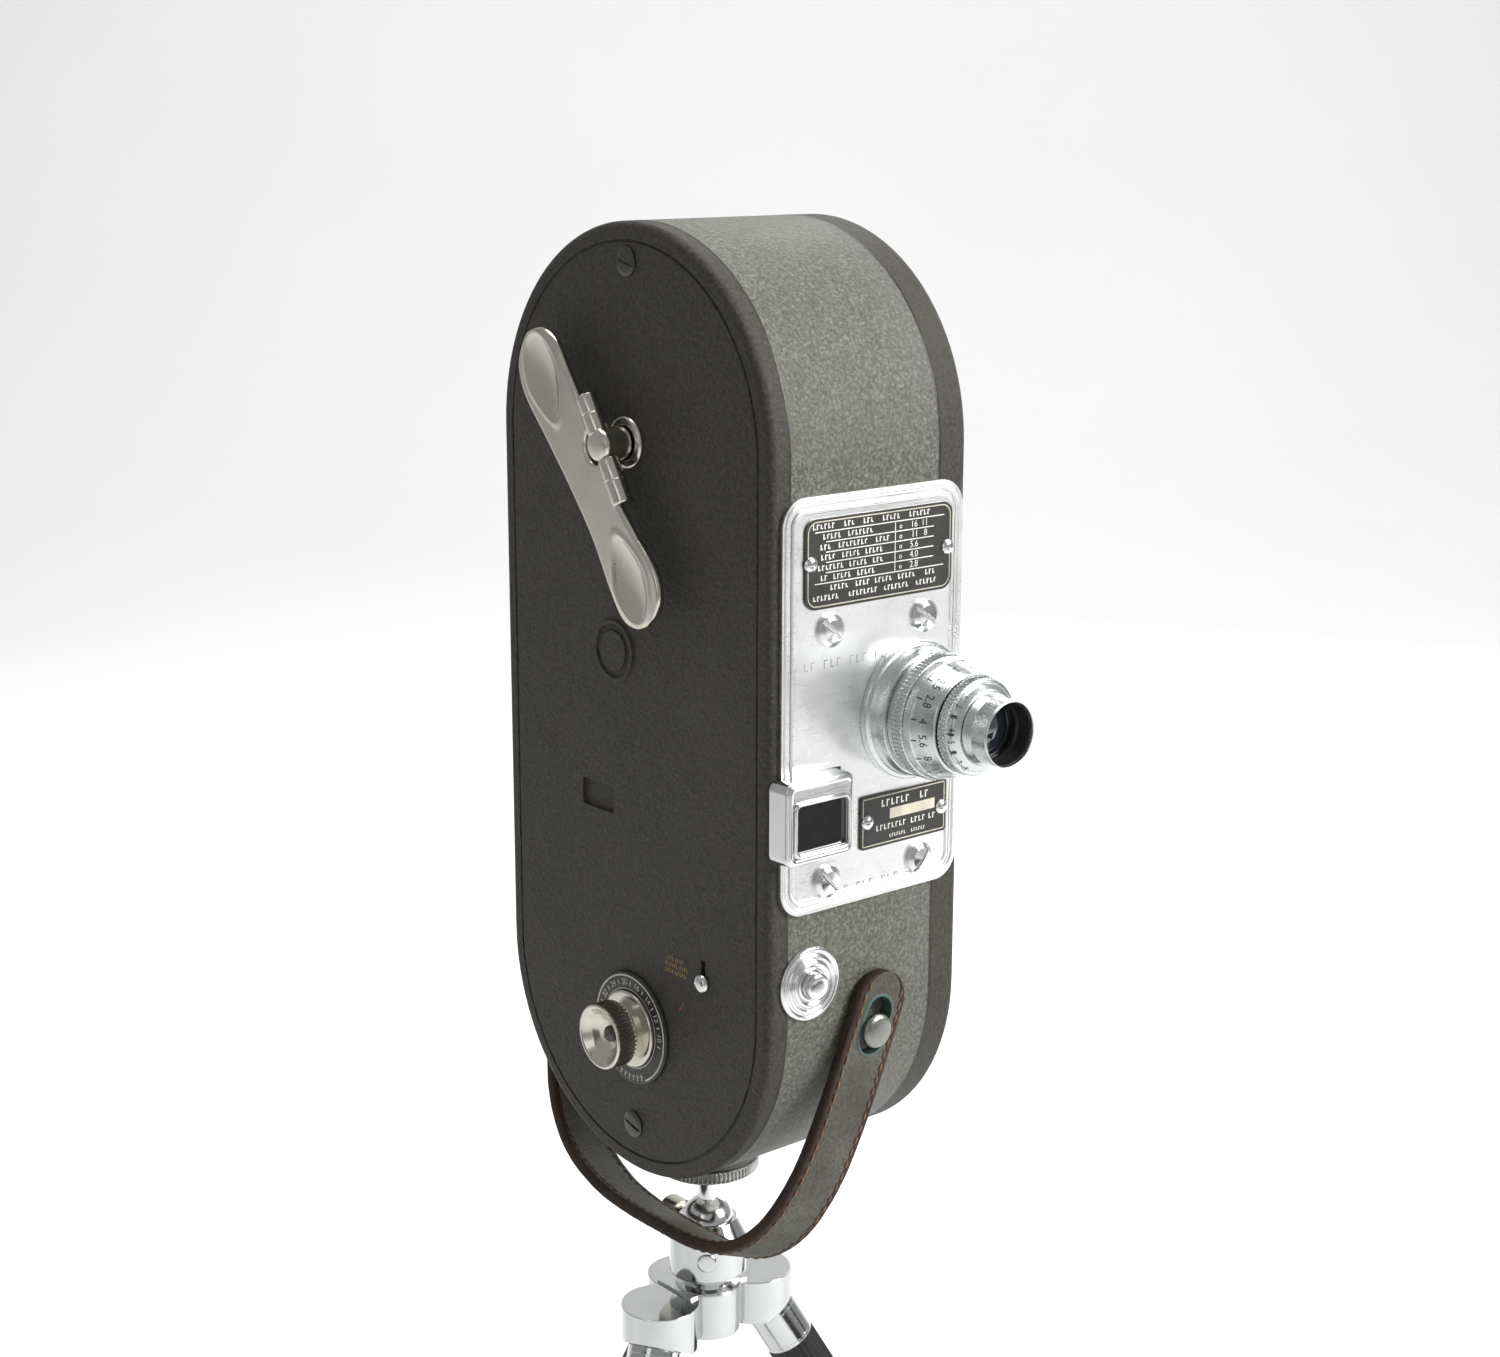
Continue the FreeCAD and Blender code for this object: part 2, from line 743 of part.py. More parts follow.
def lens_barrel():
    """The lens tube with its tapered scale barrel and the front tube for the aperture ring."""
    return on_lens(turned("barrel_turned", [
        (6.0, -1.9), (d.lens_spigot, -1.9), (d.lens_spigot, 1), (d.lens_tube, 1), (d.lens_tube, 12.7),
        (14.2, 12.7), (14.0, 14.2), (13.4, 16.3),
        (12.6, 18.3), (11.6, 20.2), (d.front_tube, 20.2), (d.front_tube, 25.6), (7.0, 25.6), (7.0, 3),
        (6.0, 3)]))


def aperture_ring():
    """The knurled front ring that sets the aperture."""
    bore = d.front_tube + d.fit_gap
    return on_lens(turned("aperture_turned", [
        (bore, 20.3), (10.9, 20.3), (11.3, 20.6), (11.3, 23.4), (10.6, 23.7), (8.7, 25.5), (bore, 25.5)]))


def lens_hood():
    """The short flared hood in front of the glass."""
    return on_lens(turned("hood_turned", [
        (6.9, 25.6), (8.4, 25.6), (8.2, 26.4), (d.hood_radius, 28.0), (d.hood_radius, 32.5), (7.3, 32.5),
        (7.0, 28.0), (6.9, 28.0)]))


def lens_elements():
    """Front and rear glass, each a doublet's outer shape."""
    front = turned("front_element", [(0, 23.0), (6.9, 24.0), (6.9, 25.5), (5.2, 26.6), (2.8, 27.3), (0, 27.5)])
    rear = turned("rear_element", [(0, 0), (5.9, 0), (5.9, 2), (3.5, 2.6), (0, 2.8)])
    return group("glass_group", [on_lens(front), on_lens(rear)])


# ---------------------------------------------------------------- release button
RELEASE_AT = (d.release_x, FRONT_FACE, d.release_z)


def release_escutcheon():
    """The stepped ring with a blind sleeve that guides the button and seats its spring."""
    bore = d.release_radius + d.fit_gap
    body = turned("escutcheon_turned", [
        (1.35, -d.release_depth), (d.release_sleeve, -d.release_depth), (d.release_sleeve, 0), (8.9, 0),
        (8.9, 0.9), (7.6, 1.1), (7.6, 1.5), (5.6, 1.6), (5.4, 2.0), (bore, 2.0),
        (bore, -d.release_depth + 1), (1.35, -d.release_depth + 1)])
    return on_camera(body, *RELEASE_AT, FRONT)


def release_button():
    """The domed button with its stem."""
    body = turned("button_turned", [
        (0, -18), (1.3, -18), (1.3, -2), (d.release_radius, -2), (d.release_radius, 3.2), (2.7, 3.7), (0, 3.9)])
    return on_camera(body, *RELEASE_AT, FRONT)


def release_spring():
    """A compression spring between the sleeve's floor and the button."""
    low, high, turns = -float(d.release_depth) + 1.25, -2.25, 7
    coil_radius, wire_radius = 2.2, 0.22
    path = Part.makeHelix((high - low) / turns, high - low, coil_radius)
    section = Part.Wire([Part.makeCircle(wire_radius, V(coil_radius, 0, 0), V(0, 1, 0.2))])
    coil = Part.Wire(path.Edges).makePipeShell([section], True, True)
    seat = Part.makeCylinder(3.0, high - low + 2, V(0, 0, low - 1))
    lift = FreeCAD.Matrix()
    lift.move(V(0, 0, low))
    solid = doc.addObject("Part::Feature", "spring_coil")
    solid.Shape = coil.transformGeometry(lift).common(seat)
    return on_camera(solid, *RELEASE_AT, FRONT)


# ---------------------------------------------------------------- winding side controls
def on_side(thing, y, z):
    return on_camera(thing, SIDE_FACE, y, z, WINDING)


def speed_dial():
    return on_side(turned("dial_turned", [
        (2.5, 0), (d.dial_radius, 0), (d.dial_radius, 0.7), (d.dial_radius - 0.3, 1.0), (2.5, 1.0)]), 0, d.dial_z)


def speed_knob():
    """The knurled knob with a skirt, a dished face and the slotted screw that holds it."""
    out = d.knob_out
    knob = turned("knob_turned", [
        (0, -5), (2.45, -5), (2.45, 1.15), (d.knob_skirt, 1.15), (d.knob_skirt, 2.2), (8.7, 2.6),
        (d.knob_radius, 3.4), (d.knob_radius, out - 0.5), (d.knob_radius - 0.6, out), (6.9, out),
        (3.2, out - 2.2), (0, out - 2.2)])
    head = screw("knob_screw", 2.9, 1.0, 0.9, 0.2)
    seat = doc.addObject("Part::Compound", "knob_screw_seat")
    seat.Links = [head]
    seat.Placement = FreeCAD.Placement(V(0, 0, float(out) - 2.2), UP)
    return on_side(fuse("speed_knob_solid", [knob, seat]), 0, d.dial_z)


def run_lock_button():
    """A round button on a slim shank that slides in the cover's slot."""
    return on_side(turned("lock_turned", [
        (0, -3.2), (1.6, -3.2), (1.6, -2.1), (0.7, -2.1), (0.7, 0.1), (d.lock_button, 0.1), (d.lock_button, 1.0),
        (1.6, 1.7), (0, 2.0)]), d.lock_y, d.lock_low + 1.6)


def cover_screws():
    screws = []
    for number, z in enumerate((d.cover_screw_high, d.cover_screw_low)):
        one = screw(f"cover_screw_{number}", d.cover_screw_radius, 0.9, 1.4, 2.6, 75)
        screws.append(on_side(one, 0, z))
    return group("cover_screw_group", screws)


def key_escutcheon():
    """The bush that the winding shaft turns in."""
    bore = d.hub_radius + d.fit_gap
    return on_side(turned("hub_bush", [
        (bore, -3), (5, -3), (5, 0), (6.1, 0), (6.1, 1.2), (5.6, 1.6), (bore, 1.6)]), 0, d.hub_z)


# The folded key lies along its hinge line, which leans back from upright by this much.
KEY_LEAN = 30.5
KEY_TURN = WINDING.multiply(Rotation(V(0, 0, 1), KEY_LEAN))


def on_key(thing):
    """Local X runs along the hinge line, local Y across the folded blade, local Z outward."""
    return on_camera(thing, SIDE_FACE, 0, d.hub_z, KEY_TURN)


def key_shaft():
    """The winding shaft with the flat tongue that the key is hinged on."""
    post = cylinder("key_post", d.hub_radius, 24)
    post.Placement = FreeCAD.Placement(V(0, 0, -19.8), UP)
    head = cylinder("key_head", d.hub_radius, 6)
    head.Placement = FreeCAD.Placement(V(0, 0, 3.2), UP)
    slab = box("key_tongue_slab", 5.6, 12, 6)
    slab.Placement = FreeCAD.Placement(V(-3.3, -6, 3.2), UP)
    tongue = common("key_tongue", head, slab)
    pin_hole = cylinder("key_tongue_hole", d.key_pin, 12)
    pin_hole.Placement = FreeCAD.Placement(V(-6, 0, float(d.key_hinge_out)), Rotation(V(0, 1, 0), 90))
    return on_key(cut("key_shaft_solid", fuse("key_shaft_whole", [post, tongue]), [pin_hole]))


KEY_OUTLINE = [(33.3, 7), (27, 1.6), (20, 1.4), (13, 0.8), (0, 1.0), (-15, -0.4), (-24, -2.4), (-33, -4.6),
               (-40, -2), (-43, 4.5), (-39.5, 11.4), (-31, 13), (-18, 13), (-4, 14.8), (9, 17.2), (22, 19.6),
               (29.5, 17.8), (33.8, 12.6)]


def winding_key():
    """The folding blade: a smooth outline, a notch round the hub, two hollows and two knuckles."""
    curve = Part.BSplineCurve()
    curve.interpolate([V(u, v, 0) for u, v in KEY_OUTLINE], PeriodicFlag=True)
    face = Part.Face(Part.Wire([curve.toShape()]))
    low = float(d.key_hinge_out) - 0.1
    thick = float(d.key_thick)
    blade = face.extrude(V(0, 0, thick)).translated(V(0, 0, low))
    blade = blade.cut(Part.makeCylinder(float(d.hub_radius) + 0.45, 30))
    across = V(1, 0, 0)
    radius, pin = float(d.key_knuckle), float(d.key_pin + d.fit_gap)
    for start, length in ((2.4, 10.1), (-15.0, 11.6)):
        blade = blade.fuse(Part.makeCylinder(radius, length, V(start, 0, float(d.key_hinge_out)), across))
    blade = blade.cut(Part.makeCylinder(pin, 60, V(-30, 0, float(d.key_hinge_out)), across))
    top = low + thick
    for u, v, half_long, half_wide in ((22.5, 10.6, 8.5, 5.6), (-31.5, 4.4, 8.5, 5.4)):
        dish = Part.makeSphere(1).transformGeometry(stretched(half_long, half_wide, 1.5))
        blade = blade.cut(dish.translated(V(u, v, top)))
    solid = doc.addObject("Part::Feature", "key_blade")
    solid.Shape = blade.removeSplitter()
    return on_key(solid)


def stretched(x, y, z):
    """A matrix that scales along the three axes."""
    matrix = FreeCAD.Matrix()
    matrix.scale(V(x, y, z))
    return matrix


def key_hinge_pin():
    """The pin through the tongue and both knuckles."""
    pin = cylinder("key_pin_rod", d.key_pin, 27)
    pin.Placement = FreeCAD.Placement(V(-14.6, 0, float(d.key_hinge_out)), Rotation(V(0, 1, 0), 90))
    return on_key(group("key_pin_seat", [pin]))


# ---------------------------------------------------------------- works inside
BARREL_PITCH = d.gear_module * d.barrel_teeth / 2
IDLER_PITCH = d.gear_module * d.idler_teeth / 2
SPROCKET_PITCH = d.gear_module * d.sprocket_teeth / 2
IDLER_DROP = BARREL_PITCH + IDLER_PITCH
GEAR_HIGH = d.plate_in - 0.3


def gear(name, teeth, width, bore, first_tooth):
    """A spur gear with slim straight-sided teeth; first_tooth is one tooth's angle in degrees."""
    count = int(float(teeth))
    module = float(d.gear_module)
    pitch = module * count / 2
    step = 2 * math.pi / count
    corners = []
    for number in range(count):
        middle = math.radians(first_tooth) + number * step
        for radius, share in ((pitch - 1.15 * module, -0.30), (pitch, -0.21), (pitch + 0.85 * module, -0.09),
                              (pitch + 0.85 * module, 0.09), (pitch, 0.21), (pitch - 1.15 * module, 0.30)):
            angle = middle + share * step
            corners.append(V(radius * math.cos(angle), radius * math.sin(angle), 0))
    face = Part.Face(Part.makePolygon(corners + corners[:1]))
    solid = face.extrude(V(0, 0, float(width)))
    thing = doc.addObject("Part::Feature", name)
    thing.Shape = solid.cut(Part.makeCylinder(float(bore), 3 * float(width), V(0, 0, -float(width))))
    return thing


def on_works(thing, y, z):
    """Seat a piece whose local Z runs to -X from the works side of the mechanism plate."""
    return on_camera(thing, GEAR_HIGH, y, z, WINDING)


def mainspring_barrel():
    """The spring drum with the first gear of the train on it."""
    bore = d.hub_radius + d.fit_gap
    drum = turned("barrel_drum", [
        (bore, d.gear_width), (d.drum_radius, d.gear_width), (d.drum_radius, 19), (bore, 19)])
    teeth = gear("barrel_gear", d.barrel_teeth, d.gear_width, bore, 180.0)
    return on_works(fuse("barrel_solid", [drum, teeth]), 0, d.hub_z)


def idler_gear():
    """The gear that carries the drive from the barrel down to the sprocket."""
    half_step = 180.0 / float(d.idler_teeth)
    return on_works(gear("idler_teeth_solid", d.idler_teeth, d.gear_width, 2.0, half_step), 0,
                    d.hub_z - IDLER_DROP)


def film_sprocket():
    """The toothed film roller on its shaft, with the gear that drives it."""
    shaft = cylinder("sprocket_shaft", 2.05, 24)
    shaft.Placement = FreeCAD.Placement(V(0, 0, -20), UP)
    # The idler has an odd number of teeth, so a tooth points down at the gear it drives.
    half_step = 180.0 / float(d.sprocket_teeth)
    teeth = gear("sprocket_gear", d.sprocket_teeth, d.gear_width, 1.5, half_step + SPROCKET_PHASE)
    roller = turned("sprocket_roller", [
        (1.5, -19.5), (9.2, -19.5), (9.2, -16.5), (7.8, -16.0), (7.8, -7.0), (9.2, -6.5), (9.2, -3.6), (1.5, -3.6)])
    pieces = [shaft, teeth, roller]
    for number in range(8):
        tooth = box("sprocket_tooth", 1.1, 1.0, 1.2)
        spin = Rotation(V(0, 0, 1), 45 * number)
        tooth.Placement = FreeCAD.Placement(V(0, 0, 0), spin).multiply(
            FreeCAD.Placement(V(8.9, -0.5, -5.6), UP))
        pieces.append(tooth)
    return on_works(fuse("sprocket_solid", pieces), 0, d.hub_z - IDLER_DROP - IDLER_PITCH - SPROCKET_PITCH)


SPROCKET_PHASE = 0.0


def spool(name, z):
    """A daylight film spool: two thin flanges on a hollow core."""
    bore = d.spindle_radius + d.fit_gap
    half = d.spool_width / 2
    flange = 0.7
    body = turned(name, [
        (bore, -half), (d.spool_radius, -half), (d.spool_radius, -half + flange), (d.spool_core, -half + flange),
        (d.spool_core, half - flange), (d.spool_radius, half - flange), (d.spool_radius, half), (bore, half)])
    return on_camera(body, d.lens_x + 0.2, 0, z, DOOR)


def shutter_disc():
    """The turning disc with an open sector, on a short shaft."""
    disc = turned("shutter_blank", [
        (0, -4), (1.5, -4), (1.5, 0), (d.shutter_radius, 0), (d.shutter_radius, 0.5), (1.5, 0.5), (1.5, 1.2),
        (0, 1.2)])
    sector = box("shutter_open_a", d.shutter_radius, d.shutter_radius, 3)
    sector.Placement = FreeCAD.Placement(V(5, 5, -1), UP)
    return on_camera(cut("shutter_solid", disc, [sector]), d.shutter_x, FRONT_FACE + 5.5, d.shutter_z, FRONT)


def film_gate():
    """The plate with the picture opening behind the lens."""
    body = new_body("gate_blank")
    outline = new_sketch(body, "gate_outline")
    rounded(outline, -8.4, 8.4, -14, 14, 1.0)
    rounded(outline, -5.13, 5.13, -3.75, 3.75, 0.4)
    pad(body, outline, 1.6)
    return on_camera(body, d.lens_x, FRONT_FACE + 10.4, d.lens_z, FRONT)


def pressure_plate():
    """The sprung plate that holds the film flat against the gate."""
    body = new_body("pressure_blank")
    outline = new_sketch(body, "pressure_outline")
    rounded(outline, -8.0, 8.0, -12, 12, 1.0)
    pad(body, outline, 1.4)
    return on_camera(body, d.lens_x, FRONT_FACE + 12.1, d.lens_z, FRONT)


# ---------------------------------------------------------------- strap
# How far both ends of the strap rise above their studs.
STRAP_TOP = 14


def strap_path():
    """The strap's middle line: two superellipse quarters that meet at the loop's lowest point."""
    reach, drop, low_at = float(d.strap_reach), float(d.strap_drop), float(d.strap_low_at)
    points = [V(-reach, STRAP_TOP, 0), V(-reach, STRAP_TOP / 2, 0)]
    steps = 20
    for number in range(steps + 1):
        angle = math.pi * number / steps
        side = -1 if number < steps / 2 else 1
        power = float(d.strap_front_power if side < 0 else d.strap_back_power)
        across = abs(math.cos(angle)) ** (2 / power) * (reach - side * low_at)
        points.append(V(low_at + side * across, -(math.sin(angle) ** (2 / power)) * drop, 0))
    points += [V(reach, STRAP_TOP / 2, 0), V(reach, STRAP_TOP, 0)]
    return points


def hand_strap():
    """A leather strap of even thickness with rounded ends and a slot at each stud."""
    middle = strap_path()
    half = float(d.strap_thick) / 2
    curve = Part.BSplineCurve()
    curve.interpolate(middle)
    outer = Part.BSplineCurve()
    inner = Part.BSplineCurve()
    count = 41
    first, last = curve.FirstParameter, curve.LastParameter
    outside, inside = [], []
    for number in range(count):
        parameter = first + (last - first) * number / (count - 1)
        spot = curve.value(parameter)
        along = V(*curve.tangent(parameter)[0])
        side = V(-along.y, along.x, 0)
        outside.append(spot - side * half)
        inside.append(spot + side * half)
    outer.interpolate(outside)
    inner.interpolate(inside)
    edges = [outer.toShape(), Part.makeLine(outside[-1], inside[-1]), inner.toShape(),
             Part.makeLine(inside[0], outside[0])]
    face = Part.Face(Part.Wire(Part.__sortEdges__(edges)))
    wide = float(d.strap_wide)
    solid = face.extrude(V(0, 0, wide)).translated(V(0, 0, -wide / 2))
    reach, across = float(d.strap_reach), V(1, 0, 0)
    slot_half, slot_low, slot_high = float(d.strap_slot_wide) / 2, -2.2, 4.2
    slot = Part.makeBox(4 * reach, slot_high - slot_low, 2 * slot_half, V(-2 * reach, slot_low, -slot_half))
    for height in (slot_low, slot_high):
        slot = slot.fuse(Part.makeCylinder(slot_half, 4 * reach, V(-2 * reach, height, 0), across))
    tip = STRAP_TOP - wide / 2
    corners = Part.makeBox(4 * reach, wide, wide + 2, V(-2 * reach, tip, -wide / 2 - 1))
    corners = corners.cut(Part.makeCylinder(wide / 2, 4 * reach, V(-2 * reach, tip, 0), across))
    thing = doc.addObject("Part::Feature", "strap_solid")
    thing.Shape = solid.cut(slot).cut(corners)
    return on_camera(thing, 0, 0, d.strap_stud_z, STRAP_TURN)


# Local X runs front to back, local Y up the leaning plane, local Z across the strap.
STRAP_TURN = Rotation(V(0, 1, 0), float(d.strap_lean)).multiply(Rotation(V(0, 0, 1), 90)).multiply(
    Rotation(V(1, 0, 0), 90))


def strap_studs():
    """The headed studs that both strap ends hang on."""
    studs = []
    for turn, side in ((FRONT, -1), (BACK, 1)):
        stud = turned("strap_stud", [
            (0, -2), (2.4, -2), (2.4, 0), (2.2, 0), (2.2, 3.6), (4.2, 3.6), (4.2, 4.4), (3.4, 5.2), (0, 5.6)])
        studs.append(on_camera(stud, 0, side * d.body_radius, d.strap_stud_z, turn))
    return group("strap_stud_group", studs)


# ---------------------------------------------------------------- ball head
def on_axis(thing, z, turn=UP):
    """Put a piece on the tripod's upright axis at a camera-frame height."""
    return place(thing, 0, d.tripod_y, d.camera_z + z, turn)


def lock_nut():
    """The knurled nut that locks the camera on the stud."""
    bore = d.stud_thread + d.fit_gap
    tall = d.bush_low - 0.1 - d.nut_low
    return on_axis(turned("nut_turned", [
        (bore, 0), (d.nut_radius - 0.7, 0), (d.nut_radius, 0.6), (d.nut_radius, tall - 0.5),
        (d.nut_radius - 0.5, tall), (bore, tall)]), d.nut_low)


def ball_stud():
    """The ball, its neck and the thread that screws into the camera's bush."""
    ball = doc.addObject("Part::Sphere", "ball_round")
    bind(ball, "Radius", d.ball_radius)
    stem = turned("ball_stem", [
        (0, 0), (d.neck_radius, 0), (d.neck_radius, 13.6), (4.6, 13.8), (4.6, 14.6), (d.stud_thread, 14.6),
        (d.stud_thread, 25.5), (2.6, 26), (0, 26)])
    return on_axis(fuse("ball_stud_solid", [ball, stem]), d.ball_z)


def socket_collar():
    """The cup that grips the ball and turns on the column."""
    collar = turned("collar_turned", [
        (0, d.collar_low - d.ball_z), (d.column_radius, d.collar_low - d.ball_z), (d.column_radius, -3.4),
        (7.5, 0.9), (0, 0.9)])
    seat = doc.addObject("Part::Sphere", "collar_seat")
    bind(seat, "Radius", d.ball_radius + d.fit_gap)
    screw_hole = cylinder("collar_screw_hole", 1.75, 12)
    screw_hole.Placement = FreeCAD.Placement(V(0, float(d.ball_radius) - 2, LOCK_SCREW_DROP), BACK)
    return on_axis(cut("socket_collar_solid", collar, [seat, screw_hole]), d.ball_z)


LOCK_SCREW_DROP = -3.0


def ball_lock_screw():
    """The small knurled thumb screw that pinches the ball."""
    knob = turned("thumb_screw", [
        (0, -2.9), (1.7, -2.9), (1.7, 0.4), (4.2, 0.4), (4.2, 5.4), (3.4, 6.2), (0, 6.2)])
    return place(knob, 0, d.tripod_y + d.column_radius, d.camera_z + d.ball_z + LOCK_SCREW_DROP, BACK)


def tripod_column():
    """The short column with its flared neck, standing on the crown."""
    low = d.crown_high + d.centre_step
    return on_axis(turned("column_turned", [
        (0, 0), (8.2, 0), (6.3, 0.9), (d.neck_low, 2.2), (5.6, 3.2), (8.0, 3.7), (d.column_radius, 4.2),
        (d.column_radius, d.collar_low - low - 0.05), (0, d.collar_low - low - 0.05)]), low)


# ---------------------------------------------------------------- crown and legs
# Each leg: side name, hinge place from the tripod's axis, and the plan direction it leans to.
LEGS = [("left", -d.lobe_at, 0, 210), ("right", d.lobe_at, 0, 330), ("back", 0, d.rear_lobe_at, 90)]


def at_hinge(thing, x, y, z, plan, lean=0.0):
    """Put a piece at a leg's hinge: local X points outward, local Z points up the leg."""
    turn = Rotation(V(0, 0, 1), plan).multiply(Rotation(V(0, 1, 0), -lean))
    return place(thing, x, d.tripod_y + y, d.hinge_z + z, turn)


def tripod_crown():
    """Three round lobes on a waisted bar, relieved underneath for each leg."""
    tall = d.crown_high - d.crown_low
    low = d.crown_low + d.camera_over_hinges
    pieces = []
    for name, x, y, plan in LEGS:
        lobe = cylinder(f"crown_lobe_{name}", d.lobe_radius, tall)
        pieces.append(place(lobe, x, d.tripod_y + y, d.hinge_z + low))
    waist = box("crown_waist", d.lobe_at * 2, d.waist_half * 2, tall)
    pieces.append(place(waist, -d.lobe_at, d.tripod_y - d.waist_half, d.hinge_z + low))
    centre = box("crown_centre", d.centre_half * 2, d.waist_half + d.rear_lobe_at, tall + d.centre_step)
    pieces.append(place(centre, -d.centre_half, d.tripod_y - d.waist_half, d.hinge_z + low))
    boss = cylinder("crown_boss", 8.2, tall + d.centre_step)
    pieces.append(place(boss, 0, d.tripod_y, d.hinge_z + low))
    tools = []
    for name, x, y, plan in LEGS:
        slot = box(f"crown_slot_{name}", 14.4, d.lug_thick + 0.2, 16.2)
        slot.Placement = FreeCAD.Placement(V(-6, -float(d.lug_thick) / 2 - 0.1, -12), UP)
        relief = box(f"crown_relief_{name}", 40, 30, 20)
        lean = FreeCAD.Placement(V(0, 0, 0), Rotation(V(0, 1, 0), -float(d.leg_spread)))
        drop = FreeCAD.Placement(V(-12, -15, -20 - float(d.stop_at)), UP)
        relief.Placement = lean.multiply(drop)
        pin = cylinder(f"crown_pin_hole_{name}", d.hinge_pin, 15)
        pin.Placement = FreeCAD.Placement(V(0, 7.5, 0), FRONT)
        tools.append(at_hinge(fuse(f"crown_cuts_{name}", [slot, relief, pin]), x, y, 0, plan))
    return cut("tripod_crown_solid", fuse("crown_whole", pieces), tools)


def leg_hinge_pins():
    pins = []
    for name, x, y, plan in LEGS:
        pin = cylinder(f"leg_pin_rod_{name}", d.hinge_pin, 15)
        pin.Placement = FreeCAD.Placement(V(0, 7.5, 0), FRONT)
        pins.append(at_hinge(group(f"leg_pin_seat_{name}", [pin]), x, y, 0, plan))
    return group("leg_pin_group", pins)


def leg_piece(name, thing, leg):
    """Seat a leg piece whose local -Z runs down the spread leg."""
    side, x, y, plan = leg
    return node(at_hinge(thing, x, y, 0, plan, float(d.leg_spread)), f"{name}_{side}")


def leg_parts(leg):
    """One leg: hinged ferrule, ribbed upper tube, telescoping lower tube, rubber foot."""
    side = leg[0]
    start, end, upper_end = -d.ferrule_start, -d.ferrule_end, -d.upper_end
    sleeve = turned(f"ferrule_sleeve_{side}", [
        (0, start), (d.ferrule_radius, start), (d.ferrule_radius, end), (0, end)])
    lug = box(f"ferrule_lug_{side}", d.lug_radius * 2, d.lug_thick, d.ferrule_start + 1)
    corner = V(-float(d.lug_radius), -float(d.lug_thick) / 2, -float(d.ferrule_start) - 1)
    lug.Placement = FreeCAD.Placement(corner, UP)
    eye = cylinder(f"ferrule_eye_{side}", d.lug_radius, d.lug_thick)
    eye.Placement = FreeCAD.Placement(V(0, float(d.lug_thick) / 2, 0), FRONT)
    eye_hole = cylinder(f"ferrule_hole_{side}", d.hinge_pin + d.fit_gap, 12)
    eye_hole.Placement = FreeCAD.Placement(V(0, 6, 0), FRONT)
    whole = fuse(f"ferrule_whole_{side}", [sleeve, lug, eye])
    leg_piece("leg_ferrule", cut(f"ferrule_{side}", whole, [eye_hole]), leg)
    leg_piece("leg_upper_tube", turned(f"upper_{side}", [
        (0, end), (d.upper_radius, end), (d.upper_radius, upper_end), (d.upper_bore, upper_end),
        (d.upper_bore, end - 4), (0, end - 4)]), leg)
    leg_piece("leg_lower_tube", turned(f"lower_{side}", [
        (0, -d.lower_start), (d.lower_radius, -d.lower_start), (d.lower_radius, -d.foot_start),
        (3.6, -d.foot_start), (3.6, -d.foot_start - 8), (0, -d.foot_start - 8)]), leg)
    tip = -d.leg_reach
    outline = [(3.6, -d.foot_start), (5.6, -d.foot_start), (5.9, -d.foot_start - 1.5), (d.foot_radius, tip + 6),
               (d.foot_radius, tip)]
    for number in range(1, 7):
        angle = math.radians(15 * number)
        across = d.foot_radius * math.cos(angle) if number < 6 else 0
        outline.append((across, tip - d.foot_radius * math.sin(angle)))
    outline += [(0, -d.foot_start - 8), (3.6, -d.foot_start - 8)]
    leg_piece("leg_foot", turned(f"foot_{side}", outline), leg)


# ---------------------------------------------------------------- the assembly
node(body_band(), "body_band")
node(winding_side_cover(), "winding_side_cover")
node(cover_screws(), "cover_screws")
node(film_door(), "film_door")
node(door_latch(), "film_door_latch")
node(mechanism_plate(), "mechanism_plate")
node(tripod_bush(), "tripod_bush")
node(front_plate(), "front_plate")
node(front_plate_screws(), "front_plate_screws")
node(label_plate("exposure_plate", -21.0, 23.9, 32.2, 52.5, 3.0), "exposure_table")
node(label_plate("name_blank", -3.5, 23.8, -26.1, -13.4, 0.8), "name_plate")
node(plate_rivets(), "plate_rivets")
node(finder_housing(), "finder_housing")
node(finder_lenses(), "finder_lenses")
node(finder_eyepiece(), "finder_eyepiece")
node(lens_mount(), "lens_mount")
node(focus_ring(), "focus_ring")
node(lens_barrel(), "lens_barrel")
node(aperture_ring(), "aperture_ring")
node(lens_hood(), "lens_hood")
node(lens_elements(), "lens_elements")
node(release_escutcheon(), "release_escutcheon")
node(release_button(), "release_button")
node(release_spring(), "release_spring")
node(speed_dial(), "speed_dial")
node(speed_knob(), "speed_knob")
node(run_lock_button(), "run_lock_button")
node(key_escutcheon(), "key_escutcheon")
node(key_shaft(), "key_shaft")
node(winding_key(), "winding_key")
node(key_hinge_pin(), "key_hinge_pin")
node(mainspring_barrel(), "mainspring_barrel")
node(idler_gear(), "idler_gear")
node(film_sprocket(), "film_sprocket")
node(spool("supply_spool_turned", d.spool_z), "supply_spool")
node(spool("takeup_spool_turned", -d.spool_z), "takeup_spool")
node(shutter_disc(), "shutter_disc")
node(film_gate(), "film_gate")
node(pressure_plate(), "pressure_plate")
node(hand_strap(), "hand_strap")
node(strap_studs(), "strap_studs")
node(lock_nut(), "lock_nut")
node(ball_stud(), "ball_stud")
node(socket_collar(), "socket_collar")
node(ball_lock_screw(), "ball_lock_screw")
node(tripod_column(), "tripod_column")
node(tripod_crown(), "tripod_crown")
node(leg_hinge_pins(), "leg_hinge_pins")
for one_leg in LEGS:
    leg_parts(one_leg)

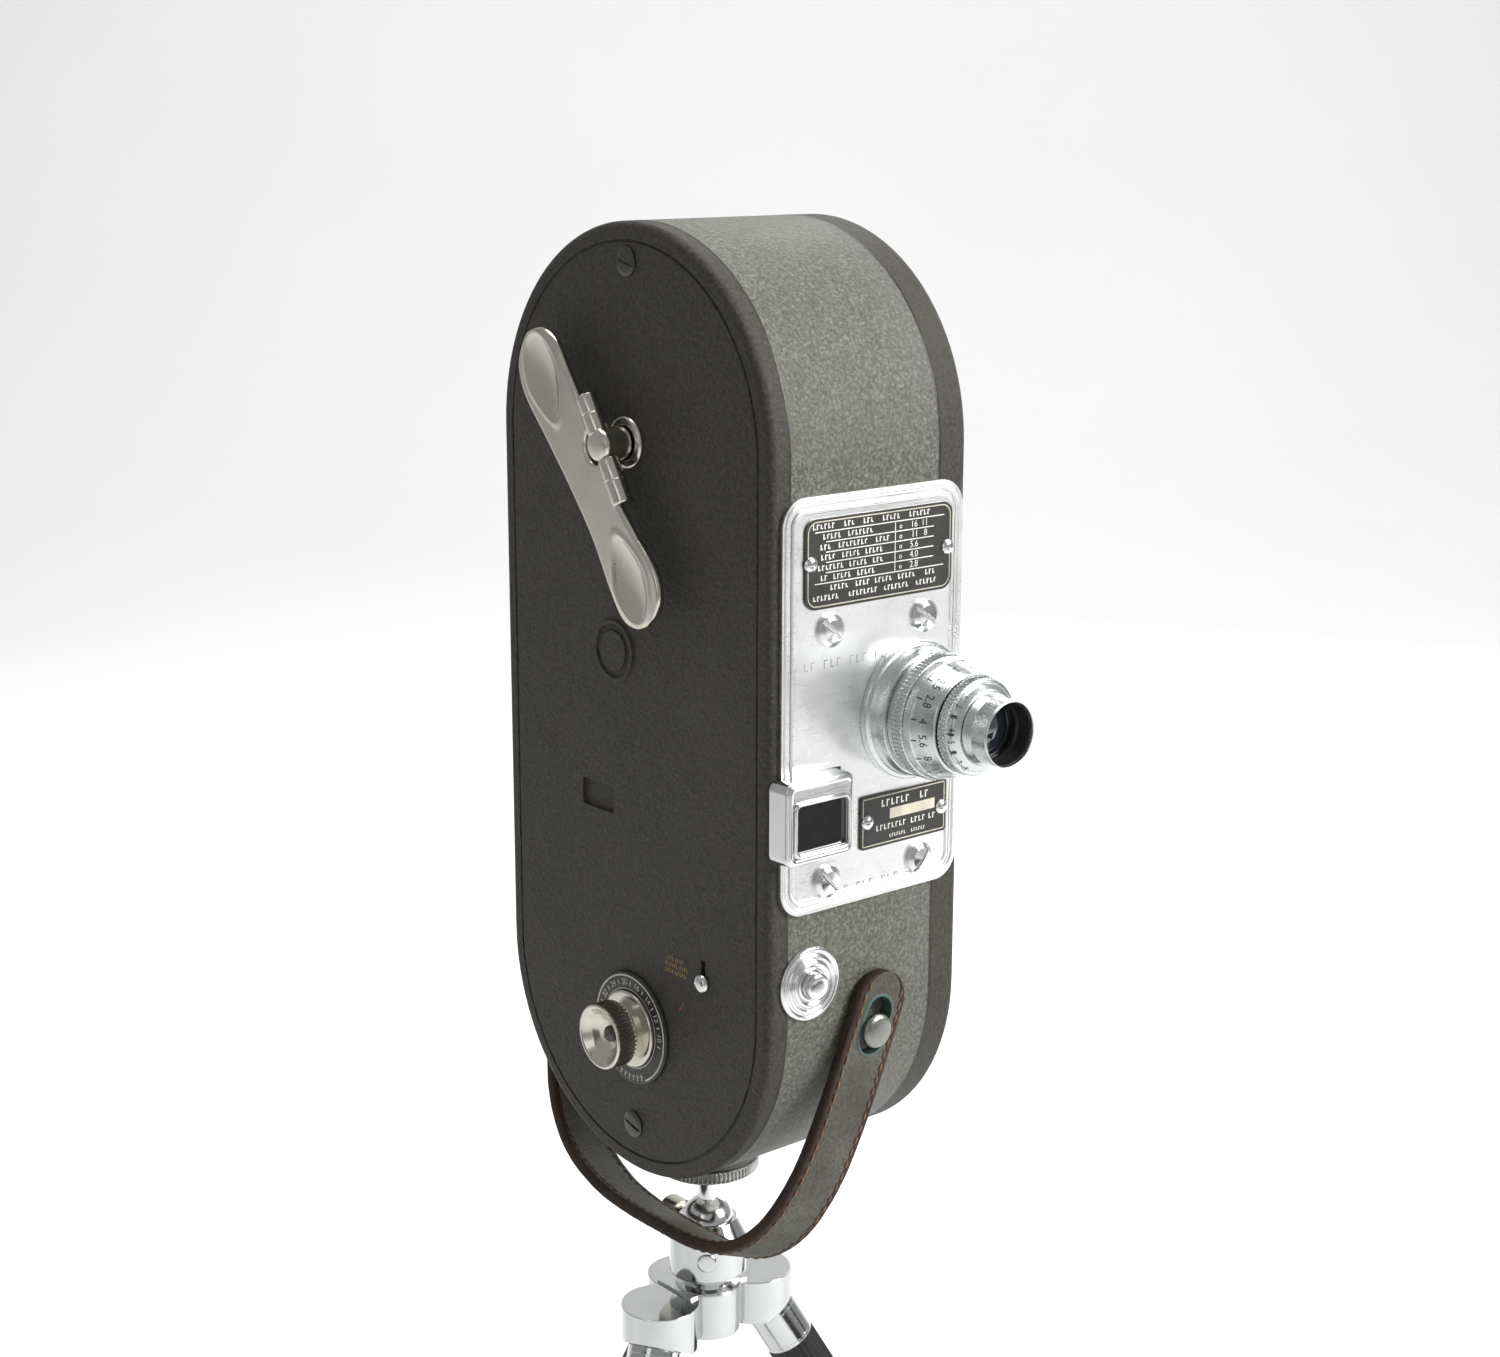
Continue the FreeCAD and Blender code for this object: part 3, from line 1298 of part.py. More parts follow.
# ---------------------------------------------------------------- check and write
doc.recompute()
for thing in doc.Objects:
    if "Invalid" in thing.State or "Error" in thing.State:
        raise RuntimeError(f"{thing.Name} did not compute: {thing.State}")
    if thing.TypeId == "PartDesign::Pocket":
        if thing.Shape.Volume >= thing.BaseFeature.Shape.Volume - 1e-3:
            raise RuntimeError(f"{thing.Name} cuts nothing")

os.makedirs("parts", exist_ok=True)
for thing in NODES:
    shape = thing.Shape
    if shape.isNull() or not shape.isValid():
        raise RuntimeError(f"{thing.Label} has no valid shape")
for thing in NODES:
    thing.Shape.exportStep(f"parts/{thing.Label}.step")
print(len(NODES), "nodes written")
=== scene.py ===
"""Looks for the spring-wound film camera on its ball-head tripod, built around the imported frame.

Metres, row frame: +Z up, -Y is the way the lens looks, +X is the film-door side.
Lengths in the shape tables are millimetres and pass through MM.
"""
import json
import math

import bmesh
import bpy
from mathutils import Matrix, Vector, noise


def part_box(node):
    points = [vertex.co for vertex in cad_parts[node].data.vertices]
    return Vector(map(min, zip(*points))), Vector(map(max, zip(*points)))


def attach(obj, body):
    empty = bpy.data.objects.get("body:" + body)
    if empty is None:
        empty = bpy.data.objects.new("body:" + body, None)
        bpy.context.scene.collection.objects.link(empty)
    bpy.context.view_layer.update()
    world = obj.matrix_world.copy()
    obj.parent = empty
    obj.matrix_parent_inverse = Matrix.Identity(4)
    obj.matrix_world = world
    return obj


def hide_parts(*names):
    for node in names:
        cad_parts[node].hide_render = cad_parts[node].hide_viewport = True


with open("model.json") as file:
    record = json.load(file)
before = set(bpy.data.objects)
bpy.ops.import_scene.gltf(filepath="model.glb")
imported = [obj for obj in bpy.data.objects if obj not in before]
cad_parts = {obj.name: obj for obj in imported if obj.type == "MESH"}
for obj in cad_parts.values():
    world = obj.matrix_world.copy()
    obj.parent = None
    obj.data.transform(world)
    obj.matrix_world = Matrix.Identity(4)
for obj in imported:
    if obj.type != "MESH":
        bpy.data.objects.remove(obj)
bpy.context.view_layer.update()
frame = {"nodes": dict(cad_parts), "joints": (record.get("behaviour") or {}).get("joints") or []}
NODES = frame["nodes"]
MM = 0.001


def middle(node):
    """The centre of a CAD node's box."""
    low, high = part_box(node)
    return (low + high) / 2


# ---- places read from the frame
COVER_LOW, COVER_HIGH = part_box("winding_side_cover")
SIDE_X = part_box("speed_dial")[1].x
FRONT_Y = COVER_LOW.y
PLATE_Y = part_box("front_plate")[0].y
HALF_WIDE = 29.83
CASE = Vector((SIDE_X + HALF_WIDE * MM, (COVER_LOW.y + COVER_HIGH.y) / 2, (COVER_LOW.z + COVER_HIGH.z) / 2))
LENS = Vector((middle("lens_hood").x, FRONT_Y, middle("lens_hood").z))
RELEASE = Vector((middle("release_escutcheon").x, FRONT_Y, middle("release_escutcheon").z))
DIAL = Vector((SIDE_X, middle("speed_dial").y, middle("speed_dial").z))
HUB = Vector((SIDE_X, middle("key_escutcheon").y, middle("key_escutcheon").z))
AXIS = Vector((middle("lock_nut").x, middle("lock_nut").y, 0))
JOINTS = {joint["name"]: joint for joint in frame["joints"]}


def columns(x, y, z):
    """A 3x3 matrix whose local X, Y and Z point along three directions."""
    return Matrix((x, y, z)).transposed()


# Local frames: X, Y across a face and Z out of it.
FRONT = columns((1, 0, 0), (0, 0, 1), (0, -1, 0))
SIDE = columns((0, -1, 0), (0, 0, 1), (-1, 0, 0))
UP = Matrix.Identity(3)


def seat(turn, origin):
    """The 4x4 matrix of a local frame at an origin in metres, with local lengths in millimetres."""
    return Matrix.Translation(origin) @ turn.to_4x4() @ Matrix.Scale(MM, 4)


# ---- shader helpers
def grey(value):
    """A number or an RGB tuple as a socket's RGBA."""
    return tuple(value) + (1.0,) if isinstance(value, (tuple, list)) else (value, value, value, 1.0)


class Graph:
    """A short way to write a material's nodes."""

    def __init__(self, name):
        self.material = bpy.data.materials.new(name)
        self.material.use_nodes = True
        self.nodes = self.material.node_tree.nodes
        self.links = self.material.node_tree.links
        self.shader = self.nodes["Principled BSDF"]

    def add(self, kind, **settings):
        node = self.nodes.new(kind)
        for key, value in settings.items():
            setattr(node, key, value)
        return node

    def put(self, socket, value):
        """Link an output, or set a plain value."""
        if isinstance(value, bpy.types.NodeSocket):
            self.links.new(value, socket)
        else:
            socket.default_value = value

    def coordinates(self, scale=(1, 1, 1), turn=(0, 0, 0)):
        source = self.add("ShaderNodeTexCoord")
        mapping = self.add("ShaderNodeMapping")
        mapping.inputs["Scale"].default_value = scale
        mapping.inputs["Rotation"].default_value = turn
        self.put(mapping.inputs["Vector"], source.outputs["Object"])
        return mapping.outputs["Vector"]

    def noise(self, scale, detail=4.0, rough=0.55, vector=None, distortion=0.0):
        node = self.add("ShaderNodeTexNoise")
        node.inputs["Scale"].default_value = scale
        node.inputs["Detail"].default_value = detail
        node.inputs["Roughness"].default_value = rough
        node.inputs["Distortion"].default_value = distortion
        self.put(node.inputs["Vector"], vector or self.coordinates())
        return node.outputs["Fac"]

    def cells(self, scale):
        node = self.add("ShaderNodeTexVoronoi", feature="SMOOTH_F1")
        node.inputs["Scale"].default_value = scale
        self.put(node.inputs["Vector"], self.coordinates())
        return node.outputs["Distance"]

    def ramp(self, value, stops):
        node = self.add("ShaderNodeValToRGB")
        elements = node.color_ramp.elements
        while len(elements) < len(stops):
            elements.new(0.5)
        for element, (place, colour) in zip(elements, stops):
            element.position = place
            element.color = grey(colour)
        self.put(node.inputs["Fac"], value)
        return node.outputs["Color"]

    def mix(self, factor, first, second):
        node = self.add("ShaderNodeMix", data_type="RGBA")
        self.put(node.inputs[0], factor)
        for socket, value in ((node.inputs[6], first), (node.inputs[7], second)):
            self.put(socket, grey(value) if isinstance(value, tuple) else value)
        return node.outputs[2]

    def maths(self, operation, first, second=0.5):
        node = self.add("ShaderNodeMath", operation=operation)
        self.put(node.inputs[0], first)
        self.put(node.inputs[1], second)
        return node.outputs[0]

    def soft_edges(self, radius):
        """The shading normal of an edge rounded by this many millimetres, and a mask of where it bends."""
        bevel = self.add("ShaderNodeBevel")
        bevel.samples = 4
        bevel.inputs["Radius"].default_value = radius * MM
        plain = self.add("ShaderNodeNewGeometry")
        dot = self.add("ShaderNodeVectorMath", operation="DOT_PRODUCT")
        self.put(dot.inputs[0], bevel.outputs["Normal"])
        self.put(dot.inputs[1], plain.outputs["Normal"])
        return bevel.outputs["Normal"], self.ramp(dot.outputs["Value"], [(0.75, 1.0), (0.97, 0.0)])

    def bump(self, height, strength, distance, normal=None):
        node = self.add("ShaderNodeBump")
        node.inputs["Strength"].default_value = strength
        node.inputs["Distance"].default_value = distance
        self.put(node.inputs["Height"], height)
        if normal is not None:
            self.put(node.inputs["Normal"], normal)
        return node.outputs["Normal"]

    def finish(self, colour, rough, normal=None, metallic=0.0, **plain):
        shader = self.shader.inputs
        self.put(shader["Base Color"], grey(colour) if isinstance(colour, tuple) else colour)
        self.put(shader["Roughness"], rough)
        if normal is not None:
            self.put(shader["Normal"], normal)
        shader["Metallic"].default_value = metallic
        for key, value in plain.items():
            shader[key.replace("_", " ")].default_value = value
        return self.material


def times(colour, factor, lift=0.0):
    """The colour made lighter or darker."""
    return tuple(min(1.0, c * factor + lift) for c in colour)


# ---- materials
def crackle_paint(name, colour, grain=1250, rough=0.5, worn_edge=(0.28, 0.27, 0.23)):
    """Wrinkle-finish enamel: small raised cells, painted shade in the creases and painted highlight on the
    raised grain, dull patches and rubbed edges.
    """
    g = Graph(name)
    cells = g.cells(grain * 0.8)
    fine = g.noise(grain, 6, 0.72)
    coarse = g.noise(grain * 0.3, 3, 0.6)
    patches = g.noise(26, 4, 0.6)
    # Painted light: the grain's high spots are lightened as painted highlight and its low spots darkened as
    # painted shade, the same noise that raises the bump.
    tone = g.ramp(fine, [(0.38, times(colour, 0.45)), (0.5, colour), (0.62, times(colour, 1.9))])
    # Painted shade: the cell borders, the creases between the raised cells, are darkened.
    tone = g.mix(g.ramp(cells, [(0.35, 0.0), (0.8, 0.75)]), tone, times(colour, 0.5))
    tone = g.mix(g.ramp(patches, [(0.42, 0.0), (0.75, 0.35)]), tone, times(colour, 1.45, 0.004))
    normal, edge = g.soft_edges(0.5)
    rubbed = g.maths("MULTIPLY", edge, g.ramp(g.noise(420, 4, 0.65), [(0.44, 0.0), (0.6, 0.55)]))
    tone = g.mix(rubbed, tone, worn_edge)
    gloss = g.ramp(fine, [(0.3, rough - 0.1), (0.75, rough + 0.14)])
    height = g.mix(0.35, g.mix(0.4, fine, cells), coarse)
    return g.finish(tone, gloss, g.bump(height, 0.9, 0.0007, normal), 0.0, Specular_IOR_Level=0.4)


def plated(name, colour, rough=0.16, scratch=0.5, tarnish=0.25, stain=(0.30, 0.26, 0.2), grain=0.0,
           soft=0.25):
    """Bright plating with fine scratches, uneven gloss, a little tarnish and softened edges."""
    g = Graph(name)
    along = g.noise(2400, 2, 0.6, g.coordinates((0.08, 1, 1), (0.3, 0.2, 0.7)))
    across = g.noise(2100, 2, 0.6, g.coordinates((1, 0.07, 1), (0.1, 0.5, 0.2)))
    cloud = g.noise(60, 5, 0.6)
    spots = g.noise(640, 4, 0.7)
    tone = g.ramp(cloud, [(0.3, times(colour, 0.86)), (0.7, colour)])
    tone = g.mix(g.ramp(spots, [(0.6, 0.0), (0.74, tarnish)]), tone, stain)
    marks = g.maths("MULTIPLY", g.maths("ADD", along, across), scratch)
    gloss = g.ramp(g.mix(0.5, cloud, along), [(0.3, max(0.03, rough - 0.07)), (0.7, rough + 0.1)])
    normal = g.bump(marks, 0.05, 0.0001, g.soft_edges(soft)[0])
    if grain:
        normal = g.bump(g.noise(3200, 5, 0.7), grain, 0.0001, normal)
    return g.finish(tone, gloss, normal, 1.0)


def painted(name, colour, rough=0.4, grain=900, relief=0.08, wear=(0.3, 0.3, 0.3), worn=0.4):
    """Smooth enamel, ink or moulded surface with faint grain and rubbed edges."""
    g = Graph(name)
    fine = g.noise(grain, 4, 0.6)
    wide = g.noise(140, 4, 0.6)
    tone = g.ramp(wide, [(0.3, times(colour, 0.75)), (0.7, times(colour, 1.2))])
    normal, edge = g.soft_edges(0.25)
    tone = g.mix(g.maths("MULTIPLY", edge, g.ramp(fine, [(0.42, 0.0), (0.65, worn)])), tone, wear)
    gloss = g.ramp(fine, [(0.3, max(0.05, rough - 0.1)), (0.7, min(1.0, rough + 0.12))])
    return g.finish(tone, gloss, g.bump(fine, relief, 0.0002, normal), 0.0)


def ink(name, colour, wear):
    """Flat ink with hardly any relief and no rubbed edges."""
    return painted(name, colour, 0.5, 2600, 0.02, wear, 0.0)


def leather(name, colour, rubbed, amount):
    """Old strap leather: pebbled grain, creases across the bend and grey rubbed patches."""
    g = Graph(name)
    pebbles = g.cells(1500)
    grain = g.noise(1100, 6, 0.7)
    creases = g.noise(150, 5, 0.65, None, 0.8)
    patches = g.ramp(g.noise(60, 5, 0.65, None, 0.5), [(0.34, 0.25), (0.62, 1.0)])
    flecks = g.ramp(grain, [(0.35, 0.35), (0.6, 1.0)])
    tone = g.ramp(grain, [(0.3, times(colour, 0.45)), (0.72, times(colour, 1.6))])
    tone = g.mix(g.maths("MULTIPLY", g.maths("MULTIPLY", patches, flecks), amount), tone, rubbed)
    height = g.mix(0.4, g.mix(0.5, pebbles, grain), creases)
    gloss = g.ramp(grain, [(0.3, 0.5), (0.7, 0.8)])
    return g.finish(tone, gloss, g.bump(height, 0.7, 0.0006), 0.0, Specular_IOR_Level=0.25)


def coated_glass(name, tint):
    """A dark coated pane: the inside of a lens looks nearly black."""
    g = Graph(name)
    smear = g.noise(300, 3, 0.5)
    tone = g.ramp(smear, [(0.3, times(tint, 0.8)), (0.7, tint)])
    gloss = g.ramp(smear, [(0.3, 0.02), (0.8, 0.07)])
    return g.finish(tone, gloss, None, 0.0, Coat_Weight=1.0, Coat_Roughness=0.02, Specular_IOR_Level=0.8)


MATERIAL = {
    # One crackle paint: the band takes it as lit; the winding cover and film door take a darker copy whose
    # colour and rubbed-edge colour are painted shade.
    "band": crackle_paint("crackle_band", (0.100, 0.100, 0.080)),
    "side": crackle_paint("crackle_side", (0.032, 0.028, 0.021), 1250, 0.6, (0.11, 0.105, 0.085)),
    "plate": plated("front_plate_chrome", (0.90, 0.90, 0.89), 0.30, 0.8, 0.35, (0.42, 0.41, 0.38), 0.10),
    "chrome": plated("bright_chrome", (0.72, 0.73, 0.72), 0.16, 0.5, 0.2),
    "lens": plated("satin_lens_chrome", (0.62, 0.65, 0.64), 0.24, 0.6, 0.25, (0.3, 0.3, 0.27), 0.04),
    "nickel": plated("worn_nickel", (0.62, 0.60, 0.52), 0.17, 0.6, 0.4, (0.20, 0.17, 0.10)),
    "tripod": plated("tripod_chrome", (0.58, 0.59, 0.59), 0.08, 0.4, 0.12, (0.4, 0.38, 0.35), 0.0, 0.5),
    "steel": plated("satin_steel", (0.55, 0.54, 0.52), 0.3, 0.8, 0.3),
    "dark_steel": plated("dark_steel", (0.10, 0.095, 0.09), 0.34, 0.6, 0.2, (0.2, 0.18, 0.15)),
    "black": painted("satin_black", (0.016, 0.016, 0.017), 0.38),
    "tube": painted("ribbed_black", (0.011, 0.011, 0.012), 0.34, 1400, 0.05, (0.12, 0.12, 0.12)),
    "label": painted("label_black", (0.020, 0.019, 0.017), 0.42, 1200, 0.1, (0.45, 0.43, 0.4)),
    "cream": ink("cream_ink", (0.58, 0.54, 0.43), (0.1, 0.1, 0.08)),
    "white": ink("white_ink", (0.74, 0.73, 0.68), (0.1, 0.1, 0.08)),
    "gold": ink("gold_ink", (0.30, 0.21, 0.06), (0.05, 0.04, 0.03)),
    "red": ink("red_ink", (0.30, 0.05, 0.03), (0.05, 0.04, 0.03)),
    "ink": painted("engraved_black", (0.015, 0.015, 0.016), 0.55, 2600, 0.02, (0.05, 0.05, 0.05), 0.0),
    "faint": ink("engraved_grey", (0.34, 0.34, 0.33), (0.3, 0.3, 0.3)),
    "leather": leather("strap_edge_leather", (0.022, 0.012, 0.007), (0.07, 0.05, 0.036), 0.4),
    "leather_face": leather("strap_face_leather", (0.040, 0.036, 0.028), (0.14, 0.14, 0.115), 0.7),
    "thread": painted("waxed_thread", (0.17, 0.085, 0.035), 0.7, 3000, 0.5, (0.3, 0.2, 0.1)),
    "brass": plated("aged_brass", (0.48, 0.42, 0.24), 0.34, 0.6, 0.4, (0.16, 0.20, 0.12)),
    "patina": painted("slot_patina", (0.055, 0.10, 0.085), 0.6, 1500, 0.4, (0.2, 0.3, 0.26)),
    "aluminium": plated("plain_aluminium", (0.66, 0.67, 0.68), 0.34, 0.6, 0.1),
    "stud": plated("stud_nickel", (0.26, 0.27, 0.24), 0.32, 0.8, 0.7, (0.10, 0.15, 0.13)),
    "rubber": painted("foot_rubber", (0.03, 0.03, 0.03), 0.75, 1500, 0.3, (0.12, 0.12, 0.12)),
    "glass": coated_glass("coated_glass", (0.012, 0.014, 0.022)),
    "window": coated_glass("window_glass", (0.022, 0.023, 0.022)),
}

LEGS = ("left", "right", "back")

# Which finish each CAD node that stays visible takes.
CAD_FINISH = {
    "band": ["body_band"],
    "side": ["winding_side_cover", "film_door"],
    "plate": ["front_plate"],
    "chrome": ["finder_housing", "front_plate_screws", "lens_mount", "lens_barrel", "lens_hood", "focus_ring",
               "aperture_ring", "release_escutcheon", "release_button", "plate_rivets", "ball_stud"],
    "nickel": ["winding_key", "key_shaft", "key_escutcheon", "key_hinge_pin", "speed_knob", "run_lock_button",
               "strap_studs", "ball_lock_screw"],
    "tripod": ["tripod_crown", "tripod_column", "socket_collar", "leg_hinge_pins"]
              + [f"leg_ferrule_{side}" for side in LEGS] + [f"leg_lower_tube_{side}" for side in LEGS],
    "steel": ["film_door_latch", "lock_nut", "release_spring", "pressure_plate"],
    "dark_steel": ["cover_screws", "tripod_bush"],
    "black": ["speed_dial", "finder_eyepiece", "shutter_disc", "supply_spool", "takeup_spool"],
    "tube": [f"leg_upper_tube_{side}" for side in LEGS],
    "label": ["exposure_table", "name_plate"],
    "leather": ["hand_strap"],
    "brass": ["idler_gear", "film_sprocket", "film_gate"],
    "aluminium": ["mechanism_plate", "mainspring_barrel"],
    "rubber": [f"leg_foot_{side}" for side in LEGS],
    "glass": ["lens_elements"],
    "window": ["finder_lenses"],
}

for finish, names in CAD_FINISH.items():
    for name in names:
        mesh = NODES[name].data
        mesh.materials.clear()
        mesh.materials.append(MATERIAL[finish])
        mesh.shade_smooth()


# ---- mesh helpers
def place_mesh(name, mesh, body, materials, replaced=(), sharp=32):
    """Make an object of a finished mesh, shade it and let it ride on a body."""
    mesh.shade_smooth()
    mesh.set_sharp_from_angle(angle=math.radians(sharp))
    for material in materials:
        mesh.materials.append(MATERIAL[material])
    thing = bpy.data.objects.new(name, mesh)
    bpy.context.scene.collection.objects.link(thing)
    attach(thing, body)
    if replaced:
        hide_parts(*replaced)
    return thing


def new_mesh(name, verts, faces, indices=None):
    mesh = bpy.data.meshes.new(name)
    mesh.from_pydata(verts, [], faces)
    if indices:
        mesh.polygons.foreach_set("material_index", indices)
    mesh.update()
    return mesh


def place_shape(name, verts, faces, body, material, replaced=(), sharp=32):
    """Make an object of one material from its points and faces."""
    return place_mesh(name, new_mesh(name, verts, faces), body, [material], replaced, sharp)


def grid_faces(rows, count, closed=False):
    """Quads between rings of points; closed joins the last ring to the first."""
    faces = []
    for row in range(rows if closed else rows - 1):
        after = (row + 1) % rows
        for number in range(count):
            beside = (number + 1) % count
            faces.append((row * count + number, row * count + beside, after * count + beside,
                after * count + number))
    return faces


def eased(points, radius):
    """The outline with each corner rounded by up to this many millimetres; a third value rides along."""
    out = [points[0]]
    for before, here, after in zip(points, points[1:], points[2:]):
        a, b, c = Vector(before[:2]), Vector(here[:2]), Vector(after[:2])
        back = min(radius, (a - b).length * 0.4)
        ahead = min(radius, (c - b).length * 0.4)
        start, end = b + (a - b).normalized() * back, b + (c - b).normalized() * ahead
        extra = here[2:]
        for t in (0.0, 0.3, 0.7, 1.0):
            spot = start.lerp(b, t).lerp(b.lerp(end, t), t)
            out.append((spot.x, spot.y, *extra))
    return out + [points[-1]]


def lathe(name, outline, frame_matrix, body, material, replaced=(), teeth=0, steps=96, ease=0.25, sharp=50,
          share=0.5):
    """Turn (radius, height, tooth depth) in millimetres about local Z; teeth cut where there is a depth."""
    steps = teeth * 6 if teeth else steps
    rows = eased([point if len(point) == 3 else (*point, 0.0) for point in outline], ease)
    verts = []
    for radius, height, depth in rows:
        for number in range(steps):
            angle = 2 * math.pi * number / steps
            dip = 0.0
            if depth:
                dip = depth * min(1.0, max(0.0, 0.5 + share - math.cos(teeth * angle)))
            reach = radius - dip
            verts.append(frame_matrix @ Vector((reach * math.cos(angle), reach * math.sin(angle), height)))
    faces = grid_faces(len(rows), steps)
    if outline[0] != outline[-1]:
        faces.append(tuple(reversed(range(steps))))
        faces.append(tuple(range((len(rows) - 1) * steps, len(rows) * steps)))
    return place_shape(name, verts, faces, body, material, replaced, sharp)


def open_lathe(name, outline, *args, **settings):
    """A lathe of a closed section: the last point joins the first, so there are no end caps."""
    return lathe(name, list(outline) + [outline[0]], *args, **settings)


def rounded_path(left, right, low, high, corner, steps=6):
    """Points round a rectangle with round corners, counterclockwise."""
    path = []
    for x, y, start in ((right - corner, high - corner, 0), (left + corner, high - corner, 90),
            (left + corner, low + corner, 180), (right - corner, low + corner, 270)):
        for number in range(steps + 1):
            angle = math.radians(start + 90 * number / steps)
            path.append((x + corner * math.cos(angle), y + corner * math.sin(angle)))
    return path


def frame_strip(name, rect, corner, section, frame_matrix, body, material):
    """A moulding round a rounded rectangle; the section is (outward shift, height) and closes on itself."""
    left, right, low, high = rect
    verts = []
    section = eased(list(section) + [section[0]], 0.1)
    for shift, height in section:
        for x, y in rounded_path(left - shift, right + shift, low - shift, high + shift,
                max(0.2, corner + shift)):
            verts.append(frame_matrix @ Vector((x, y, height)))
    count = len(verts) // len(section)
    return place_shape(name, verts, grid_faces(len(section), count), body, material)


def glyphs(text, height):
    """The triangles of a line of figures, centred, as (vertices, faces) in millimetres."""
    curve = bpy.data.curves.new("figures", "FONT")
    curve.body = text
    curve.size = height / 0.7
    curve.align_x = "CENTER"
    curve.align_y = "CENTER"
    curve.resolution_u = 3
    thing = bpy.data.objects.new("figures", curve)
    mesh = bpy.data.meshes.new_from_object(thing)
    verts = [vertex.co.to_2d() for vertex in mesh.vertices]
    faces = [tuple(face.vertices) for face in mesh.polygons]
    bpy.data.objects.remove(thing)
    bpy.data.curves.remove(curve)
    bpy.data.meshes.remove(mesh)
    return verts, faces


def lay_shape(verts, faces, points, loops, at, turn, lay):
    """Add a flat shape, turned and moved to its place, through a lay that carries it onto a surface."""
    cosine, sine = math.cos(math.radians(turn)), math.sin(math.radians(turn))
    base = len(verts)
    for point in points:
        verts.append(lay(at[0] + point.x * cosine - point.y * sine, at[1] + point.x * sine + point.y * cosine))
    faces += [tuple(base + index for index in loop) for loop in loops]


def marks(name, items, lay, frame_matrix, body, material):
    """Ink in one mesh: ("n", text, x, y, height, turn) figures, ("b", x, y, width, height, turn) bars."""
    verts, faces = [], []
    for kind, *values in items:
        if kind == "n":
            text, x, y, height, turn = values
            points, loops = glyphs(text, height)
        else:
            x, y, wide, height, turn = values
            cuts = max(1, round(wide / 0.8))
            points = [Vector((wide * (number / cuts - 0.5), height * side))
                      for number in range(cuts + 1) for side in (-0.5, 0.5)]
            loops = [(2 * number, 2 * number + 2, 2 * number + 3, 2 * number + 1) for number in range(cuts)]
        lay_shape(verts, faces, points, loops, (x, y), turn, lambda a, b: frame_matrix @ lay(a, b))
    return place_shape(name, verts, faces, body, material, (), 60)


def bar_letter(x, y, stem, tall, dash_at, dash):
    """A mark in place of a letter: an upright bar and a short dash beside it, which spell nothing."""
    return [("b", x, y, stem, tall, 0), ("b", x + dash_at[0], y + dash_at[1], *dash, 0)]


def on_ring(radius, degrees):
    """A point on a circle."""
    return radius * math.cos(math.radians(degrees)), radius * math.sin(math.radians(degrees))


# ---- lens
ON_LENS = seat(FRONT, LENS)
INK_LIFT = 0.05


def build_lens():
    """The turned metal of the lens, ring by ring, and the front glass."""
    open_lathe("lens_flange", [(7.2, -1.0), (7.2, 1.0), (16.2, 1.0), (16.2, 2.6), (15.7, 3.0), (15.2, 3.2),
        (15.0, 5.0), (14.5, 7.0), (10.5, 7.0), (10.5, -1.0)], ON_LENS, "camera", "lens", ["lens_mount"])
    open_lathe("focus_ring_turned", [(10.5, 7.1), (13.6, 7.1), (13.7, 8.8), (14.0, 9.0), (14.6, 9.3, 0.45),
        (14.6, 12.1, 0.45), (14.2, 12.4), (13.6, 12.6), (10.5, 12.6)], ON_LENS, "focus", "lens",
        ["focus_ring"], teeth=84, ease=0.15)
    open_lathe("lens_barrel_turned", [(8.1, 7.5), (10.4, 7.5), (10.4, 12.7), (14.2, 12.7), (14.1, 13.2),
        (13.75, 14.6), (13.55, 14.7), (12.7, 17.4), (11.7, 20.1), (11.4, 20.25), (8.1, 20.25)], ON_LENS,
        "camera", "lens", ["lens_barrel"])
    open_lathe("aperture_ring_turned", [(8.1, 20.6), (11.0, 20.6), (11.3, 20.9, 0.35), (11.3, 23.1, 0.35),
        (10.9, 23.4), (10.3, 23.5), (10.0, 24.3), (9.0, 25.3), (8.7, 25.5), (8.1, 25.5)], ON_LENS,
        "aperture", "lens", ["aperture_ring"], teeth=72, ease=0.15)
    open_lathe("front_tube_turned", [(6.9, 19.5), (8.0, 19.5), (8.0, 25.6), (8.4, 25.6), (8.2, 26.4),
        (7.75, 27.8), (7.75, 32.1), (7.55, 32.5), (7.35, 32.4), (7.2, 31.8), (7.15, 28.0), (6.9, 28.0)],
        ON_LENS, "camera", "lens", ["lens_hood"], ease=0.18)
    open_lathe("hood_lining", [(7.14, 31.7), (7.05, 31.7), (6.98, 28.2), (6.6, 27.6), (6.6, 26.4),
        (6.9, 26.2), (7.12, 28.0)], ON_LENS, "camera", "black", ease=0.08)
    lathe("front_glass_dome", [(6.85, 24.0), (6.85, 25.4), (6.0, 26.0), (5.0, 26.5), (3.6, 27.0),
        (2.0, 27.35), (0.6, 27.48)], ON_LENS, "camera", "glass", ["lens_elements"], steps=64, ease=0.1)


def ring_marks(name, items, radius_at, body, material):
    """Figures on a cone: (kind, text or width, degrees, distance, height, turn), with x round the lens."""
    verts, faces = [], []
    for kind, what, degrees, distance, height, turn in items:
        if kind == "n":
            points, loops = glyphs(what, height)
        else:
            points = [Vector((what * u, height * v)) for u in (-0.5, 0.5) for v in (-0.5, 0.5)]
            loops = [(0, 2, 3, 1)]

        def lay(across, along):
            radius = radius_at(along)
            angle = math.radians(degrees) + across / radius
            return ON_LENS @ Vector((radius * math.cos(angle), radius * math.sin(angle), along))

        lay_shape(verts, faces, points, loops, (0, distance), turn, lay)
    place_shape(name, verts, faces, body, material, (), 60)


def barrel_radius(along):
    """The numbered cone of the barrel, with the ink's lift."""
    start, start_radius, end, end_radius = 13.0, 14.15, 20.1, 11.75
    return start_radius + (end_radius - start_radius) * (along - start) / (end - start) + INK_LIFT


